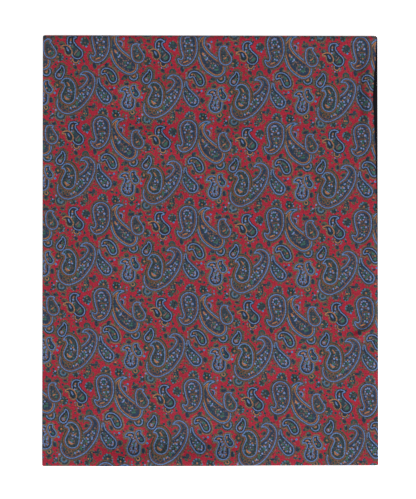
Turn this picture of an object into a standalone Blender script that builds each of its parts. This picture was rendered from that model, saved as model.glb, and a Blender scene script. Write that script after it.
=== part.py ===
"""A lined silk scarf folded in four, lying flat.

X runs across the scarf, Y along its length and Z is up. The far end (+Y) is
the outer fold, which holds a second fold inside it. The near end (-Y) has a
rolled fold in its upper half and the scarf's two sewn ends in its lower half.
From the top the four plies are B, C, D and A. Each ply is a printed silk
face and a plain backing, seamed along both long edges and turned. Sizes are
in metres.
"""

import math
from collections import namedtuple

import bmesh
import bpy

# The folded stack
WIDTH = 0.33505
LENGTH = 0.43018
NEAR_WIDER = 0.00075  # the near fold is longer than the middle, the far one shorter
LEFT_LONGER = 0.00078  # likewise the left edge against the right one
CORNER = 0.0014  # how much a fold's corners are rounded, seen from above

# The cloth
SILK = 0.0010
BACKING = 0.0010
GAP = 0.0003
PLY = SILK + GAP + BACKING  # one lined thickness
PITCH = PLY + GAP  # from one ply to the next
HEIGHT = 4 * PITCH - GAP
MIDDLE = HEIGHT / 2

# Radii of the middle lines of the far and near folds
FAR_SILK_RADIUS = MIDDLE - SILK / 2
FAR_BACKING_RADIUS = FAR_SILK_RADIUS - SILK / 2 - GAP - BACKING / 2
FAR_INNER_RADIUS = PITCH / 2
NEAR_SILK_RADIUS = PITCH - GAP / 2 - SILK / 2
NEAR_BACKING_RADIUS = NEAR_SILK_RADIUS - SILK / 2 - GAP - BACKING / 2

# Where the folds turn, and how far the rolled ply runs back under itself
FAR_TURN = LENGTH / 2 - MIDDLE
NEAR_TURN = -LENGTH / 2 + PITCH - GAP / 2
TUCK = 0.0060
NEAR_END = -LENGTH / 2

# The core that joins the hidden plies lies back from their edges
CORE_SETBACK = 0.0030
CORE_NEAR = NEAR_TURN + TUCK + 0.0030
CORE_FAR = FAR_TURN - 0.0010
CORE_LOW = PLY - BACKING / 2
CORE_HIGH = 3 * PITCH - GAP - PLY / 2

# The silk of the top ply lies loose on its backing, and settles at its edges
LOOSE = 0.0014
SETTLE_SIDE = 0.024
SETTLE_END = 0.014

# Soft creases of the top silk: where the middle of each one is, its heading in
# degrees from +X, its length, the half width of its slope and its height
Crease = namedtuple("Crease", "x y heading length width height")
CREASES = (
    Crease(0.1515, 0.1540, 93, 0.054, 0.0042, -0.0012),  # the pull beside the right edge
    Crease(0.1560, 0.1010, 86, 0.060, 0.0056, -0.0007),  # where that pull fades
    Crease(0.0220, 0.1455, -64, 0.056, 0.0032, 0.0006),  # slanting ridge under the far fold
    Crease(-0.0600, 0.1180, -18, 0.080, 0.0140, -0.0006),  # hollow on the left
    Crease(0.0240, 0.1120, 70, 0.030, 0.0110, -0.0006),  # hollow beside the ridge
    Crease(-0.0850, 0.1650, 10, 0.040, 0.0120, -0.0004),  # hollow near the far fold
    Crease(0.1510, -0.0795, 32, 0.028, 0.0032, -0.0008),  # short slanting crease
    Crease(0.0210, -0.1035, 60, 0.014, 0.0040, -0.0006),  # dent
    Crease(0.0720, -0.1250, 24, 0.070, 0.0120, 0.0005),  # swell on the right
    Crease(-0.0110, -0.1780, 0, 0.120, 0.0110, 0.0009),  # swell above the near fold
    Crease(-0.0110, -0.1995, 0, 0.116, 0.0070, -0.0014),  # trough along the near fold
)

# The seam of the top ply has rolled onto the face along the right edge. Each
# row gives how far in from the edge the silk ends, at a place along the length
Roll = namedtuple("Roll", "y inset")
SEAM_ROLL = (
    Roll(-0.0300, 0.0000),
    Roll(0.0000, 0.0008),
    Roll(0.0600, 0.0012),
    Roll(0.1000, 0.0020),
    Roll(0.1280, 0.0031),
    Roll(0.1520, 0.0042),
    Roll(0.1740, 0.0032),
    Roll(0.1900, 0.0019),
    Roll(0.2140, 0.0010),
)
LIP_RISE = 0.0009  # how far the backing's turned edge rises beside the silk
LIP_FULL = 0.0012  # the width of backing past which it rises all the way
LIP_SHARE = 0.6  # the share of that width that the risen edge takes up
LIP_ROUND = 0.8  # how much of the rise is left where the edge turns down
LIP_FOOT = 0.0002  # the least slope between the seam and the risen edge

# How far each hidden edge lies back from the stack's outline
Setback = namedtuple("Setback", "left right near")
PLY_C_D_SETBACK = Setback(0.0009, 0.0004, 0.0006)
BACKING_UNDER_SETBACK = Setback(0.0005, 0.0007, 0.0008)
SILK_UNDER_SETBACK = Setback(0.0004, 0.0006, 0.0003)
BACKING_TOP_LEFT = 0.0004

# Fineness of the meshes
COLUMN_STEP = 0.0115  # across the top silk
FINE_FROM = 0.1360  # past this the columns follow the pulled edge
FINE_COLUMNS = 8
ROW_STEP = 0.0105  # along the top silk
ROLL_FROM = -0.1600  # past this the rows are close, for the crease by the near fold
ROLL_STEP = 0.0050
BACKING_ROWS = 24
FOLD_STEPS = 7  # in a quarter turn of the far fold
EDGE_ANGLES = (60, 0, -60)  # round a turned edge, from its upper side to its lower
TIP_ANGLES = (75, 40)  # round a sewn end, from its tip
FOLD_GAP_ANGLE = 2  # between the two silk stretches, where the far fold is furthest out

Finish = namedtuple("Finish", "red green blue roughness")
CRIMSON_SILK = Finish(0.38, 0.03, 0.055, 0.5)
BLACK_BACKING = Finish(0.012, 0.012, 0.016, 0.85)
HIDDEN_CLOTH = Finish(0.10, 0.03, 0.05, 0.8)

# A place on a ply's middle line and the direction out of the fold there
Place = namedtuple("Place", "y z out_y out_z")


def smooth(share):
    """0 below 0, 1 above 1, and an even slope between them."""
    share = min(max(share, 0.0), 1.0)
    return share * share * (3 - 2 * share)


def run(y_from, y_to, z, step, out_z=1.0):
    """Places along a flat stretch about a step apart, its first end left out."""
    count = max(round(abs(y_to - y_from) / step), 1)
    return [
        Place(y_from + (y_to - y_from) * i / count, z, 0.0, out_z)
        for i in range(1, count + 1)
    ]


def turn(y, z, radius, start, end, steps):
    """Places round a fold, between two angles in degrees from +Y."""
    places = []
    for i in range(steps + 1):
        angle = math.radians(start + (end - start) * i / steps)
        out_y, out_z = math.cos(angle), math.sin(angle)
        places.append(Place(y + radius * out_y, z + radius * out_z, out_y, out_z))
    return places


def crease_height(crease, x, y):
    """The height that one crease adds at a place."""
    heading = math.radians(crease.heading)
    across_x, across_y = x - crease.x, y - crease.y
    along = across_x * math.cos(heading) + across_y * math.sin(heading)
    across = across_y * math.cos(heading) - across_x * math.sin(heading)
    fade = smooth(1.5 - 3 * abs(along) / crease.length)
    return crease.height * fade * math.exp(-((across / crease.width) ** 2))


def lift(x, y):
    """How far the top silk stands above the backing, over the seam gap."""
    side = smooth((WIDTH / 2 - abs(x)) / SETTLE_SIDE)
    end = smooth((LENGTH / 2 - abs(y)) / SETTLE_END)
    height = LOOSE + sum(crease_height(crease, x, y) for crease in CREASES)
    return max(height, 0.0) * side * end


def seam_inset(y):
    """How far in from the right edge the top silk ends."""
    if y <= SEAM_ROLL[0].y:
        return SEAM_ROLL[0].inset
    for low, high in zip(SEAM_ROLL, SEAM_ROLL[1:]):
        if y <= high.y:
            share = smooth((y - low.y) / (high.y - low.y))
            return low.inset + (high.inset - low.inset) * share
    return SEAM_ROLL[-1].inset


def corner_inset(y):
    """How far a fold's rounded corner draws the side edge in."""
    reach = abs(y) - (LENGTH / 2 - CORNER)
    if reach <= 0:
        return 0.0
    return CORNER - math.sqrt(max(CORNER**2 - min(reach, CORNER) ** 2, 0.0))


def out_of_square(x, y, z):
    """The stack's real outline, which is a little wider near and longer left."""
    return (
        x * (1 - NEAR_WIDER / (WIDTH / 2) * y / LENGTH),
        y * (1 - LEFT_LONGER / (LENGTH / 2) * x / WIDTH),
        z,
    )


def columns(left, right):
    """X of the top silk's columns, finer beside the pulled edge."""
    count = round((FINE_FROM - left) / COLUMN_STEP)
    coarse = [left + (FINE_FROM - left) * i / count for i in range(count)]
    fine = [
        FINE_FROM + (right - FINE_FROM) * i / FINE_COLUMNS
        for i in range(FINE_COLUMNS + 1)
    ]
    return coarse + fine


def ring(place, thickness, upper, lower):
    """Points round the wall at one place: its outer side from left to right,
    the right edge, the inner side from right to left and the left edge.
    upper and lower are rows of (x, rise), as long as each other."""
    half = thickness / 2

    def point(x, offset, rise=0.0):
        y = place.y + place.out_y * offset
        z = place.z + place.out_z * (offset + rise)
        return out_of_square(x, y, z)

    points = [point(x, half, rise) for x, rise in upper]
    middle = (upper[-1][1] + lower[-1][1]) / 2
    reach = half + (upper[-1][1] - lower[-1][1]) / 2
    for angle in EDGE_ANGLES:
        turned = math.radians(angle)
        x = upper[-1][0] + half * math.cos(turned)
        points.append(point(x, reach * math.sin(turned), middle))
    points += [point(x, -half, rise) for x, rise in reversed(lower)]
    for angle in reversed(EDGE_ANGLES):
        turned = math.radians(angle)
        x = upper[0][0] - half * math.cos(turned)
        points.append(point(x, half * math.sin(turned), upper[0][1]))
    return points


def plain_rows(place, thickness, setback):
    """Rows of a flat wall: only its two edges."""
    corner = corner_inset(place.y)
    left = -WIDTH / 2 + setback.left + corner + thickness / 2
    right = WIDTH / 2 - setback.right - corner - thickness / 2
    rows = [(left, 0.0), (right, 0.0)]
    return rows, rows


def loft(rings, upper_count):
    """A closed mesh through rings of equal length."""
    mesh = bmesh.new()
    loops = [[mesh.verts.new(point) for point in points] for points in rings]
    count = len(loops[0])
    for first, second in zip(loops, loops[1:]):
        for i in range(count):
            j = (i + 1) % count
            mesh.faces.new((first[i], first[j], second[j], second[i]))
    edge = len(EDGE_ANGLES)
    opposite = 2 * upper_count + edge - 1
    for loop in (loops[0], loops[-1]):
        for i in range(upper_count - 1):
            mesh.faces.new((loop[i], loop[i + 1], loop[opposite - i - 1], loop[opposite - i]))
        mesh.faces.new(loop[upper_count - 1 : upper_count + edge + 1])
        mesh.faces.new(loop[opposite:] + loop[:1])
    bmesh.ops.recalc_face_normals(mesh, faces=mesh.faces)
    return mesh


def sewn_end(place, thickness, towards):
    """Places and thicknesses that round off a sewn end, its tip first."""
    half = thickness / 2
    tips = []
    for angle in TIP_ANGLES:
        turned = math.radians(angle)
        reach = half * (1 - math.sin(turned))
        tips.append((place._replace(y=place.y + towards * reach), thickness * math.cos(turned)))
    tips.append((place._replace(y=place.y + towards * half), thickness))
    return tips


def dress(name, mesh, finish):
    """Makes the object and its material from a finished mesh."""
    data = bpy.data.meshes.new(name)
    mesh.to_mesh(data)
    mesh.free()
    data.shade_smooth()
    data.set_sharp_from_angle(angle=math.radians(40))
    made = bpy.data.objects.new(name, data)
    bpy.context.scene.collection.objects.link(made)
    material = bpy.data.materials.new(name)
    material.use_nodes = True
    shader = material.node_tree.nodes["Principled BSDF"]
    shader.inputs["Base Color"].default_value = (finish.red, finish.green, finish.blue, 1.0)
    shader.inputs["Roughness"].default_value = finish.roughness
    shader.inputs["Metallic"].default_value = 0.0
    data.materials.append(material)
    return made


def plain_wall(name, places, thickness, setback, finish, end=None):
    """A ply with flat faces along its middle line. end is a sewn end's place."""
    sections = [(place, thickness) for place in places]
    if end:
        sections = sewn_end(end, thickness, 1.0) + sections
    rings = [
        ring(place, depth, *plain_rows(place, thickness, setback))
        for place, depth in sections
    ]
    return dress(name, loft(rings, 2), finish)


def top_line(far_radius, near_radius, row_step, roll_step):
    """Middle line of a top stretch: far fold, flat run, near fold and tuck."""
    top = MIDDLE + far_radius
    near_z = HEIGHT - PITCH + GAP / 2
    return (
        turn(FAR_TURN, MIDDLE, far_radius, FOLD_GAP_ANGLE, 90, FOLD_STEPS)
        + run(FAR_TURN, ROLL_FROM, top, row_step)
        + run(ROLL_FROM, NEAR_TURN, top, roll_step)
        + turn(NEAR_TURN, near_z, near_radius, 90, 270, FOLD_STEPS + 3)[1:]
        + run(NEAR_TURN, NEAR_TURN + TUCK, near_z - near_radius, TUCK, -1.0)
    )


def silk_top():
    """The printed face that shows: over the far fold, the top and the near roll."""
    rings = []
    for place in top_line(FAR_SILK_RADIUS, NEAR_SILK_RADIUS, ROW_STEP, ROLL_STEP):
        corner = corner_inset(place.y)
        left = -WIDTH / 2 + corner + SILK / 2
        seam = max(seam_inset(place.y), corner)
        right = WIDTH / 2 - seam - GAP * smooth(seam / GAP) - SILK / 2
        flat = place.out_z == 1.0
        rows = [
            (x, lift(x, place.y) if flat else 0.0) for x in columns(left, right)
        ]
        rings.append(ring(place, SILK, rows, rows))
    return dress("silk_top", loft(rings, len(rows)), CRIMSON_SILK)


def backing_top():
    """The backing of the top ply, whose turned edge shows along the right."""
    rings = []
    step = LENGTH / BACKING_ROWS
    for place in top_line(FAR_BACKING_RADIUS, NEAR_BACKING_RADIUS, step, step):
        corner = corner_inset(place.y)
        seam = seam_inset(place.y)
        flat = place.out_z == 1.0
        rise = LIP_RISE * smooth((seam - BACKING) / LIP_FULL) if flat else 0.0
        left = -WIDTH / 2 + BACKING_TOP_LEFT + corner + BACKING / 2
        right = WIDTH / 2 - corner - BACKING / 2
        lip = right - max(seam - BACKING, 0.0) * LIP_SHARE
        foot = min(WIDTH / 2 - seam, lip - LIP_FOOT)
        upper = [(left, 0.0), (foot, 0.0), (lip, rise), (right, rise * LIP_ROUND)]
        lower = [(x, 0.0) for x, _ in upper]
        rings.append(ring(place, BACKING, upper, lower))
    return dress("backing_top", loft(rings, len(upper)), BLACK_BACKING)


def silk_under():
    """The printed face underneath, flat where it rests, up to the far fold."""
    rest = SILK / 2
    end = Place(NEAR_END + SILK_UNDER_SETBACK.near, rest, 0.0, -1.0)
    places = turn(FAR_TURN, MIDDLE, FAR_SILK_RADIUS, -90, -FOLD_GAP_ANGLE, FOLD_STEPS)
    return plain_wall("silk_under", places, SILK, SILK_UNDER_SETBACK, CRIMSON_SILK, end)


def hidden_layers():
    """The plies between top and bottom: one solid, open in layers at its edges."""
    under = turn(FAR_TURN, MIDDLE, FAR_BACKING_RADIUS, -90, -FOLD_GAP_ANGLE, FOLD_STEPS)
    end = Place(
        NEAR_END + BACKING_UNDER_SETBACK.near, SILK + GAP + BACKING / 2, 0.0, -1.0
    )
    solid = plain_wall(
        "hidden_layers", under, BACKING, BACKING_UNDER_SETBACK, HIDDEN_CLOTH, end
    )
    fold = turn(FAR_TURN, MIDDLE, FAR_INNER_RADIUS, -90, 90, 2 * FOLD_STEPS)
    fold += run(FAR_TURN, NEAR_TURN + TUCK + GAP, MIDDLE + FAR_INNER_RADIUS, LENGTH)
    end = Place(NEAR_END + PLY_C_D_SETBACK.near, MIDDLE - FAR_INNER_RADIUS, 0.0, -1.0)
    plies = plain_wall("plies_c_d", fold, PLY, PLY_C_D_SETBACK, HIDDEN_CLOTH, end)
    side = WIDTH / 2 - CORE_SETBACK
    block = bmesh.new()
    bmesh.ops.create_cube(block, size=1.0)
    for vert in block.verts:
        vert.co.x *= 2 * side
        vert.co.y = CORE_NEAR if vert.co.y < 0 else CORE_FAR
        vert.co.z = CORE_LOW if vert.co.z < 0 else CORE_HIGH
    core = dress("core", block, HIDDEN_CLOTH)
    for helper in (plies, core):
        helper.hide_render = True
        helper.display_type = "WIRE"
        join = solid.modifiers.new(helper.name, "BOOLEAN")
        join.operation = "UNION"
        join.solver = "EXACT"
        join.object = helper
    return solid


def main():
    """Clears the scene and builds the scarf."""
    for old in list(bpy.data.objects):
        bpy.data.objects.remove(old, do_unlink=True)
    silk_top()
    backing_top()
    silk_under()
    hidden_layers()


main()
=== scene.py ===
"""Looks of a lined silk scarf, folded in four and lying flat.

The frame's axes hold here: X runs across the scarf, Y along it towards the
outer fold and Z is up, in metres. A ply is a printed silk face and a plain wool
backing, seamed along their edges and turned. From the top the plies are B, C,
D and A, and the silk is one run of cloth through all four:
D - inner fold - C - near fold - B - far fold - A.
"""

import logging
import math
from collections.abc import Sequence
from dataclasses import dataclass, field, replace
from enum import Enum

import bpy
import numpy as np
from mathutils.geometry import delaunay_2d_cdt
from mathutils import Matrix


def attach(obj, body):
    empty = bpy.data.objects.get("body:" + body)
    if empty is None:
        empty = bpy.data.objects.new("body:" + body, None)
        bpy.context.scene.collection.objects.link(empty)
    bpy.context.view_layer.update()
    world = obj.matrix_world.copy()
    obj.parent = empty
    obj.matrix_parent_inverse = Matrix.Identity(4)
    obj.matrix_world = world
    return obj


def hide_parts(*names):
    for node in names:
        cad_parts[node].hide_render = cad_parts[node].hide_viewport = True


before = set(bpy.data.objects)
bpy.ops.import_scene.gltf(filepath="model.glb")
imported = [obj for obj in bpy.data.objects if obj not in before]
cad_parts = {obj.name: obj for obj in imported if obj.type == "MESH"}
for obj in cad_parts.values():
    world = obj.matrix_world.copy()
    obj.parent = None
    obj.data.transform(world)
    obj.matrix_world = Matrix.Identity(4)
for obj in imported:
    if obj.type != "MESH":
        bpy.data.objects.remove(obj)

LOG = logging.getLogger("scarf")
BODY = "root"
MM = 0.001


# ------------------------------------------------------------------ the stack


@dataclass(frozen=True)
class Stack:
    """Sizes of the folded scarf, as in the part's solids."""

    width: float = 0.33505
    length: float = 0.43018
    near_wider: float = 0.00075
    left_longer: float = 0.00078
    corner: float = 0.0014  # radius of the corners, seen from above
    ply: float = 0.0023
    gap: float = 0.0003
    tuck: float = 0.0060  # top silk that is tucked in past the near fold

    @property
    def pitch(self) -> float:
        """From one ply to the next."""
        return self.ply + self.gap

    @property
    def half(self) -> float:
        """Half a ply, which is the radius of its edges."""
        return self.ply / 2

    @property
    def height(self) -> float:
        """Height of the four plies."""
        return 4 * self.pitch - self.gap

    @property
    def middle(self) -> float:
        """Height of the far folds' centre."""
        return self.height / 2

    @property
    def far_turn(self) -> float:
        """Y where the far folds begin."""
        return self.length / 2 - self.middle

    @property
    def near_turn(self) -> float:
        """Y where the near fold begins."""
        return -self.length / 2 + self.pitch - self.gap / 2


STACK = Stack()


class Side(Enum):
    """A face of a ply: which way it lies from the ply's middle."""

    SILK = 1
    BACKING = -1


@dataclass
class Places:
    """Places on a ply's middle line, and the way its silk faces there."""

    y: np.ndarray
    z: np.ndarray
    out_y: np.ndarray
    out_z: np.ndarray


@dataclass(frozen=True)
class FoldPath:
    """The run of the plies through their folds, measured along one face.

    The measure is Y itself on the flat top of ply B. It grows through the far
    fold into ply A, and falls through the near fold into C and D.
    """

    side: Side

    def radius(self, of_middle: float, silk_outside: bool) -> float:
        """Radius of this face in a fold, from that of the ply's middle line."""
        sign = self.side.value * (1 if silk_outside else -1)
        return of_middle + sign * STACK.half

    @property
    def far_radius(self) -> float:
        """Radius of the outer fold, from B to A."""
        return self.radius(STACK.middle - STACK.half, True)

    @property
    def near_radius(self) -> float:
        """Radius of the near fold, from B to C."""
        return self.radius(STACK.pitch / 2, True)

    @property
    def inner_radius(self) -> float:
        """Radius of the fold inside the far one, from C to D."""
        return self.radius(STACK.pitch / 2, False)

    @property
    def far_end(self) -> float:
        """Measure where the outer fold ends and A begins."""
        return STACK.far_turn + math.pi * self.far_radius

    @property
    def near_end(self) -> float:
        """Measure where the near fold ends and C begins."""
        return STACK.near_turn - math.pi * self.near_radius

    @property
    def inner_start(self) -> float:
        """Measure where C ends and the inner fold begins."""
        return self.near_end - (STACK.far_turn - STACK.near_turn)

    @property
    def inner_end(self) -> float:
        """Measure where the inner fold ends and D begins."""
        return self.inner_start - math.pi * self.inner_radius

    def end_of_a(self, y: float) -> float:
        """Measure, along this face, of a place on ply A."""
        return self.far_end + STACK.far_turn - y

    def end_of_d(self, y: float) -> float:
        """Measure, along this face, of a place on ply D."""
        return self.inner_end - (STACK.far_turn - y)

    def places(self, along: np.ndarray) -> Places:
        """Places on the ply's middle line.

        Args:
            along: measures along this face.

        Returns:
            The places, as long as the measures.
        """
        y, z = along.copy(), np.full_like(along, STACK.height - STACK.half)
        out_y, out_z = np.zeros_like(along), np.ones_like(along)
        radius = STACK.middle - STACK.half
        turned = np.clip((along - STACK.far_turn) / self.far_radius, 0, math.pi)
        far = along > STACK.far_turn
        out_y[far], out_z[far] = np.sin(turned[far]), np.cos(turned[far])
        y[far] = STACK.far_turn + radius * out_y[far]
        z[far] = STACK.middle + radius * out_z[far]
        y[far] -= np.maximum(along[far] - self.far_end, 0)
        radius = STACK.pitch / 2
        near_z = STACK.height - STACK.pitch + STACK.gap / 2
        turned = np.clip((STACK.near_turn - along) / self.near_radius, 0, math.pi)
        near = along < STACK.near_turn
        out_y[near], out_z[near] = -np.sin(turned[near]), np.cos(turned[near])
        y[near] = STACK.near_turn + radius * out_y[near]
        z[near] = near_z + radius * out_z[near]
        y[near] += np.maximum(self.near_end - along[near], 0)
        turned = np.clip((self.inner_start - along) / self.inner_radius, 0, math.pi)
        inner = along < self.inner_start
        out_y[inner], out_z[inner] = -np.sin(turned[inner]), -np.cos(turned[inner])
        y[inner] = STACK.far_turn - radius * out_y[inner]
        z[inner] = STACK.middle - radius * out_z[inner]
        y[inner] -= np.maximum(self.inner_end - along[inner], 0)
        return Places(y, z, out_y, out_z)


def smooth(share: np.ndarray | float) -> np.ndarray:
    """An even slope: 0 below 0, 1 above 1 and a smooth step between them."""
    share = np.clip(share, 0.0, 1.0)
    return share * share * (3 - 2 * share)


@dataclass(frozen=True)
class Crease:
    """A soft crease of the top silk: its middle, heading in degrees, length,
    height, and the half width of its slope on the left and right of the heading."""

    x: float
    y: float
    heading: float
    length: float
    height: float
    left: float
    right: float

    def heights(self, x: np.ndarray, y: np.ndarray) -> np.ndarray:
        """Height that the crease adds, which fades over its outer thirds.

        Args:
            x: places across the scarf.
            y: places along it.

        Returns:
            The added heights.
        """
        heading = math.radians(self.heading)
        dx, dy = x - self.x, y - self.y
        along = dx * math.cos(heading) + dy * math.sin(heading)
        across = dy * math.cos(heading) - dx * math.sin(heading)
        fade = smooth(1.5 - 3 * np.abs(along) / self.length)
        width = np.where(across > 0, self.left, self.right)
        return self.height * fade * np.exp(-((across / width) ** 2))


@dataclass(frozen=True)
class TopRelief:
    """How the loose top silk lies over its backing, and where its seam runs."""

    loose: float = 0.0016  # lift of the silk where no crease is
    settle_left: float = 0.070  # width over which it comes down to each edge
    settle_right: float = 0.0046
    pressed_far: float = 0.65  # how squarely the folds are pressed, 1 being round
    pressed_near: float = 0.42
    creases: tuple[Crease, ...] = (
        Crease(0.1572, 0.1560, 93, 0.100, 0.0044, 0.0062, 0.0056),
        Crease(0.1478, 0.1540, 93, 0.096, -0.0022, 0.0140, 0.0050),
        Crease(0.1515, 0.0300, 90, 0.260, -0.0012, 0.0046, 0.0050),
        Crease(0.1580, -0.1000, 90, 0.440, 0.0006, 0.0090, 0.0060),
        Crease(-0.0410, -0.2126, 0, 0.215, 0.0038, 0.0170, 0.0040),
        Crease(-0.0410, -0.1870, 0, 0.200, -0.0013, 0.0190, 0.0110),
        Crease(-0.1000, -0.2120, 0, 0.140, 0.0010, 0.0150, 0.0040),
        Crease(0.0, -0.2120, 0, 1.0, 0.0006, 0.0140, 0.0040),
        Crease(0.0, 0.2105, 0, 1.0, 0.0009, 0.0040, 0.0110),
        Crease(0.0200, 0.1460, -64, 0.058, -0.0011, 0.0034, 0.0090),
        Crease(-0.0560, 0.1300, -12, 0.100, -0.0009, 0.0160, 0.0100),
        Crease(-0.0560, 0.1080, -14, 0.100, 0.0011, 0.0120, 0.0160),
        Crease(0.0240, 0.1120, 70, 0.036, 0.0010, 0.0100, 0.0080),
        Crease(-0.0850, 0.1650, 10, 0.044, 0.0008, 0.0110, 0.0110),
        Crease(0.1480, -0.0770, 32, 0.034, -0.0008, 0.0080, 0.0030),
        Crease(0.1525, -0.0815, 32, 0.032, 0.0013, 0.0030, 0.0060),
        Crease(0.0210, -0.1035, 60, 0.018, 0.0013, 0.0040, 0.0040),
        Crease(0.0720, -0.1250, 24, 0.072, -0.0009, 0.0110, 0.0110),
    )
    seam_y: tuple[float, ...] = (-0.030, 0.0, 0.060, 0.100, 0.128, 0.152, 0.174, 0.190, 0.214)
    seam_inset: tuple[float, ...] = (  # how far in it has rolled at each Y
        0.0, 0.0009, 0.0014, 0.0023, 0.0036, 0.0048, 0.0036, 0.0021, 0.0011,
    )

    def lift(self, x: np.ndarray, y: np.ndarray) -> np.ndarray:
        """How far the silk stands above its flat height.

        Args:
            x: places across the scarf.
            y: places along it.

        Returns:
            The lift at each place.
        """
        left = smooth((x + STACK.width / 2) / self.settle_left)
        right = smooth((STACK.width / 2 - self.inset(y) - x) / self.settle_right)
        height = self.loose + sum(c.heights(x, y) for c in self.creases)
        return np.maximum(height, 0.0) * left * right

    def inset(self, y: np.ndarray) -> np.ndarray:
        """How far in from the right edge the silk's seam has rolled.

        Args:
            y: places along the scarf.

        Returns:
            The inset at each place, in metres.
        """
        rows, insets = np.array(self.seam_y), np.array(self.seam_inset)
        low = np.clip(np.searchsorted(rows, y) - 1, 0, len(rows) - 2)
        share = smooth((y - rows[low]) / (rows[low + 1] - rows[low]))
        return insets[low] + (insets[low + 1] - insets[low]) * share


RELIEF = TopRelief()


# ------------------------------------------------------------------ the print


class Ink(Enum):
    """Colours of the block print, as sRGB hex."""

    CRIMSON = "991d32"
    BLUE = "5973a1"
    RUST = "684632"
    NAVY = "22334c"
    SLATE = "2c3844"
    BOTTLE = "283636"
    ORANGE = "9c6846"
    SKY = "3576a6"
    LILAC = "6c80b0"
    TEAL = "063a46"
    GREEN = "366054"
    FERN = "224644"
    TAN = "785c46"
    UMBER = "58403a"
    STEEL = "476c86"
    INDIGO = "1b2c3f"
    SOOT = "202128"
    OLIVE = "4a4c3c"
    ROSE = "765a54"


INK_ORDER = tuple(Ink)
(CRIMSON, BLUE, RUST, NAVY, SLATE, BOTTLE, ORANGE, SKY, LILAC, TEAL, GREEN, FERN, TAN, UMBER,
 STEEL, INDIGO, SOOT, OLIVE, ROSE) = INK_ORDER

Disc = tuple[float, float, float]

SPLINE_STEPS = 6  # discs made from each given one to the next
LEAST_RADIUS = 0.05  # of a disc, in millimetres
THIN_END = 0.22  # radius at which a shape that narrows is cut off
STEEPEST = 0.95  # how fast a shape may narrow along its spine
ROUND_DOT = 0.75  # a disc smaller than this is drawn with five sides


def spline(discs: Sequence[Disc], steps: int) -> np.ndarray:
    """A smooth run of discs through the given ones.

    Args:
        discs: x, y and radius of each one, in order.
        steps: how many to make from one to the next.

    Returns:
        The discs, one a row.
    """
    given = np.array(discs, float)
    if len(given) == 1:
        return given
    padded = np.vstack([2 * given[0] - given[1], given, 2 * given[-1] - given[-2]])
    share = np.linspace(0, 1, steps, endpoint=False)[:, None]
    rows = []
    for a, b, c, d in zip(padded, padded[1:], padded[2:], padded[3:]):
        bend = 2 * a - 5 * b + 4 * c - d
        twist = 3 * b - a - 3 * c + d
        rows.append(b + 0.5 * share * ((c - a) + share * (bend + share * twist)))
    rows.append(given[-1:])
    made = np.vstack(rows)
    made[:, 2] = np.maximum(made[:, 2], LEAST_RADIUS)
    return made


def arc(disc: np.ndarray, start: float, turn: float) -> np.ndarray:
    """Points round part of a disc.

    Args:
        disc: x, y and radius.
        start: the first angle, in radians.
        turn: how far round, in radians.

    Returns:
        The points, one a row.
    """
    count = max(int(abs(turn) * 3), 2)
    angles = start + turn * np.linspace(0, 1, count + 1)
    return disc[:2] + disc[2] * np.column_stack([np.cos(angles), np.sin(angles)])


def thinned(points: np.ndarray, tolerance: float) -> np.ndarray:
    """A closed outline with the points left out that it doesn't need.

    Args:
        points: the outline.
        tolerance: how far it may move.

    Returns:
        The thinner outline.
    """
    far = int(np.argmax(np.linalg.norm(points - points[0], axis=1)))
    keep = {0, far}
    todo = [(0, far), (far, len(points))]
    ring = np.vstack([points, points[:1]])
    while todo:
        first, last = todo.pop()
        if last - first < 2:
            continue
        chord = ring[last] - ring[first]
        inner = ring[first + 1 : last] - ring[first]
        size = np.linalg.norm(chord)
        if size < 1e-9:
            away = np.linalg.norm(inner, axis=1)
        else:
            away = np.abs(inner[:, 0] * chord[1] - inner[:, 1] * chord[0]) / size
        worst = int(np.argmax(away))
        if away[worst] > tolerance:
            middle = first + 1 + worst
            keep.add(middle % len(points))
            todo += [(first, middle), (middle, last)]
    return points[sorted(keep)]


def round_outline(disc: np.ndarray, tolerance: float) -> np.ndarray:
    """Outline of a disc, with few points where it is small.

    Args:
        disc: x, y and radius.
        tolerance: how coarse the outline may be.

    Returns:
        The outline's points.
    """
    wanted = math.ceil(3.2 * math.sqrt(disc[2] / tolerance) / 1.5)
    sides = 5 if disc[2] < ROUND_DOT else max(6, wanted)
    angles = disc[0] + 2 * math.pi * np.arange(sides) / sides
    reach = disc[2] * (1 + 1.8 / sides**2)  # so that it has about the disc's area
    return disc[:2] + reach * np.column_stack([np.cos(angles), np.sin(angles)])


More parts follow.
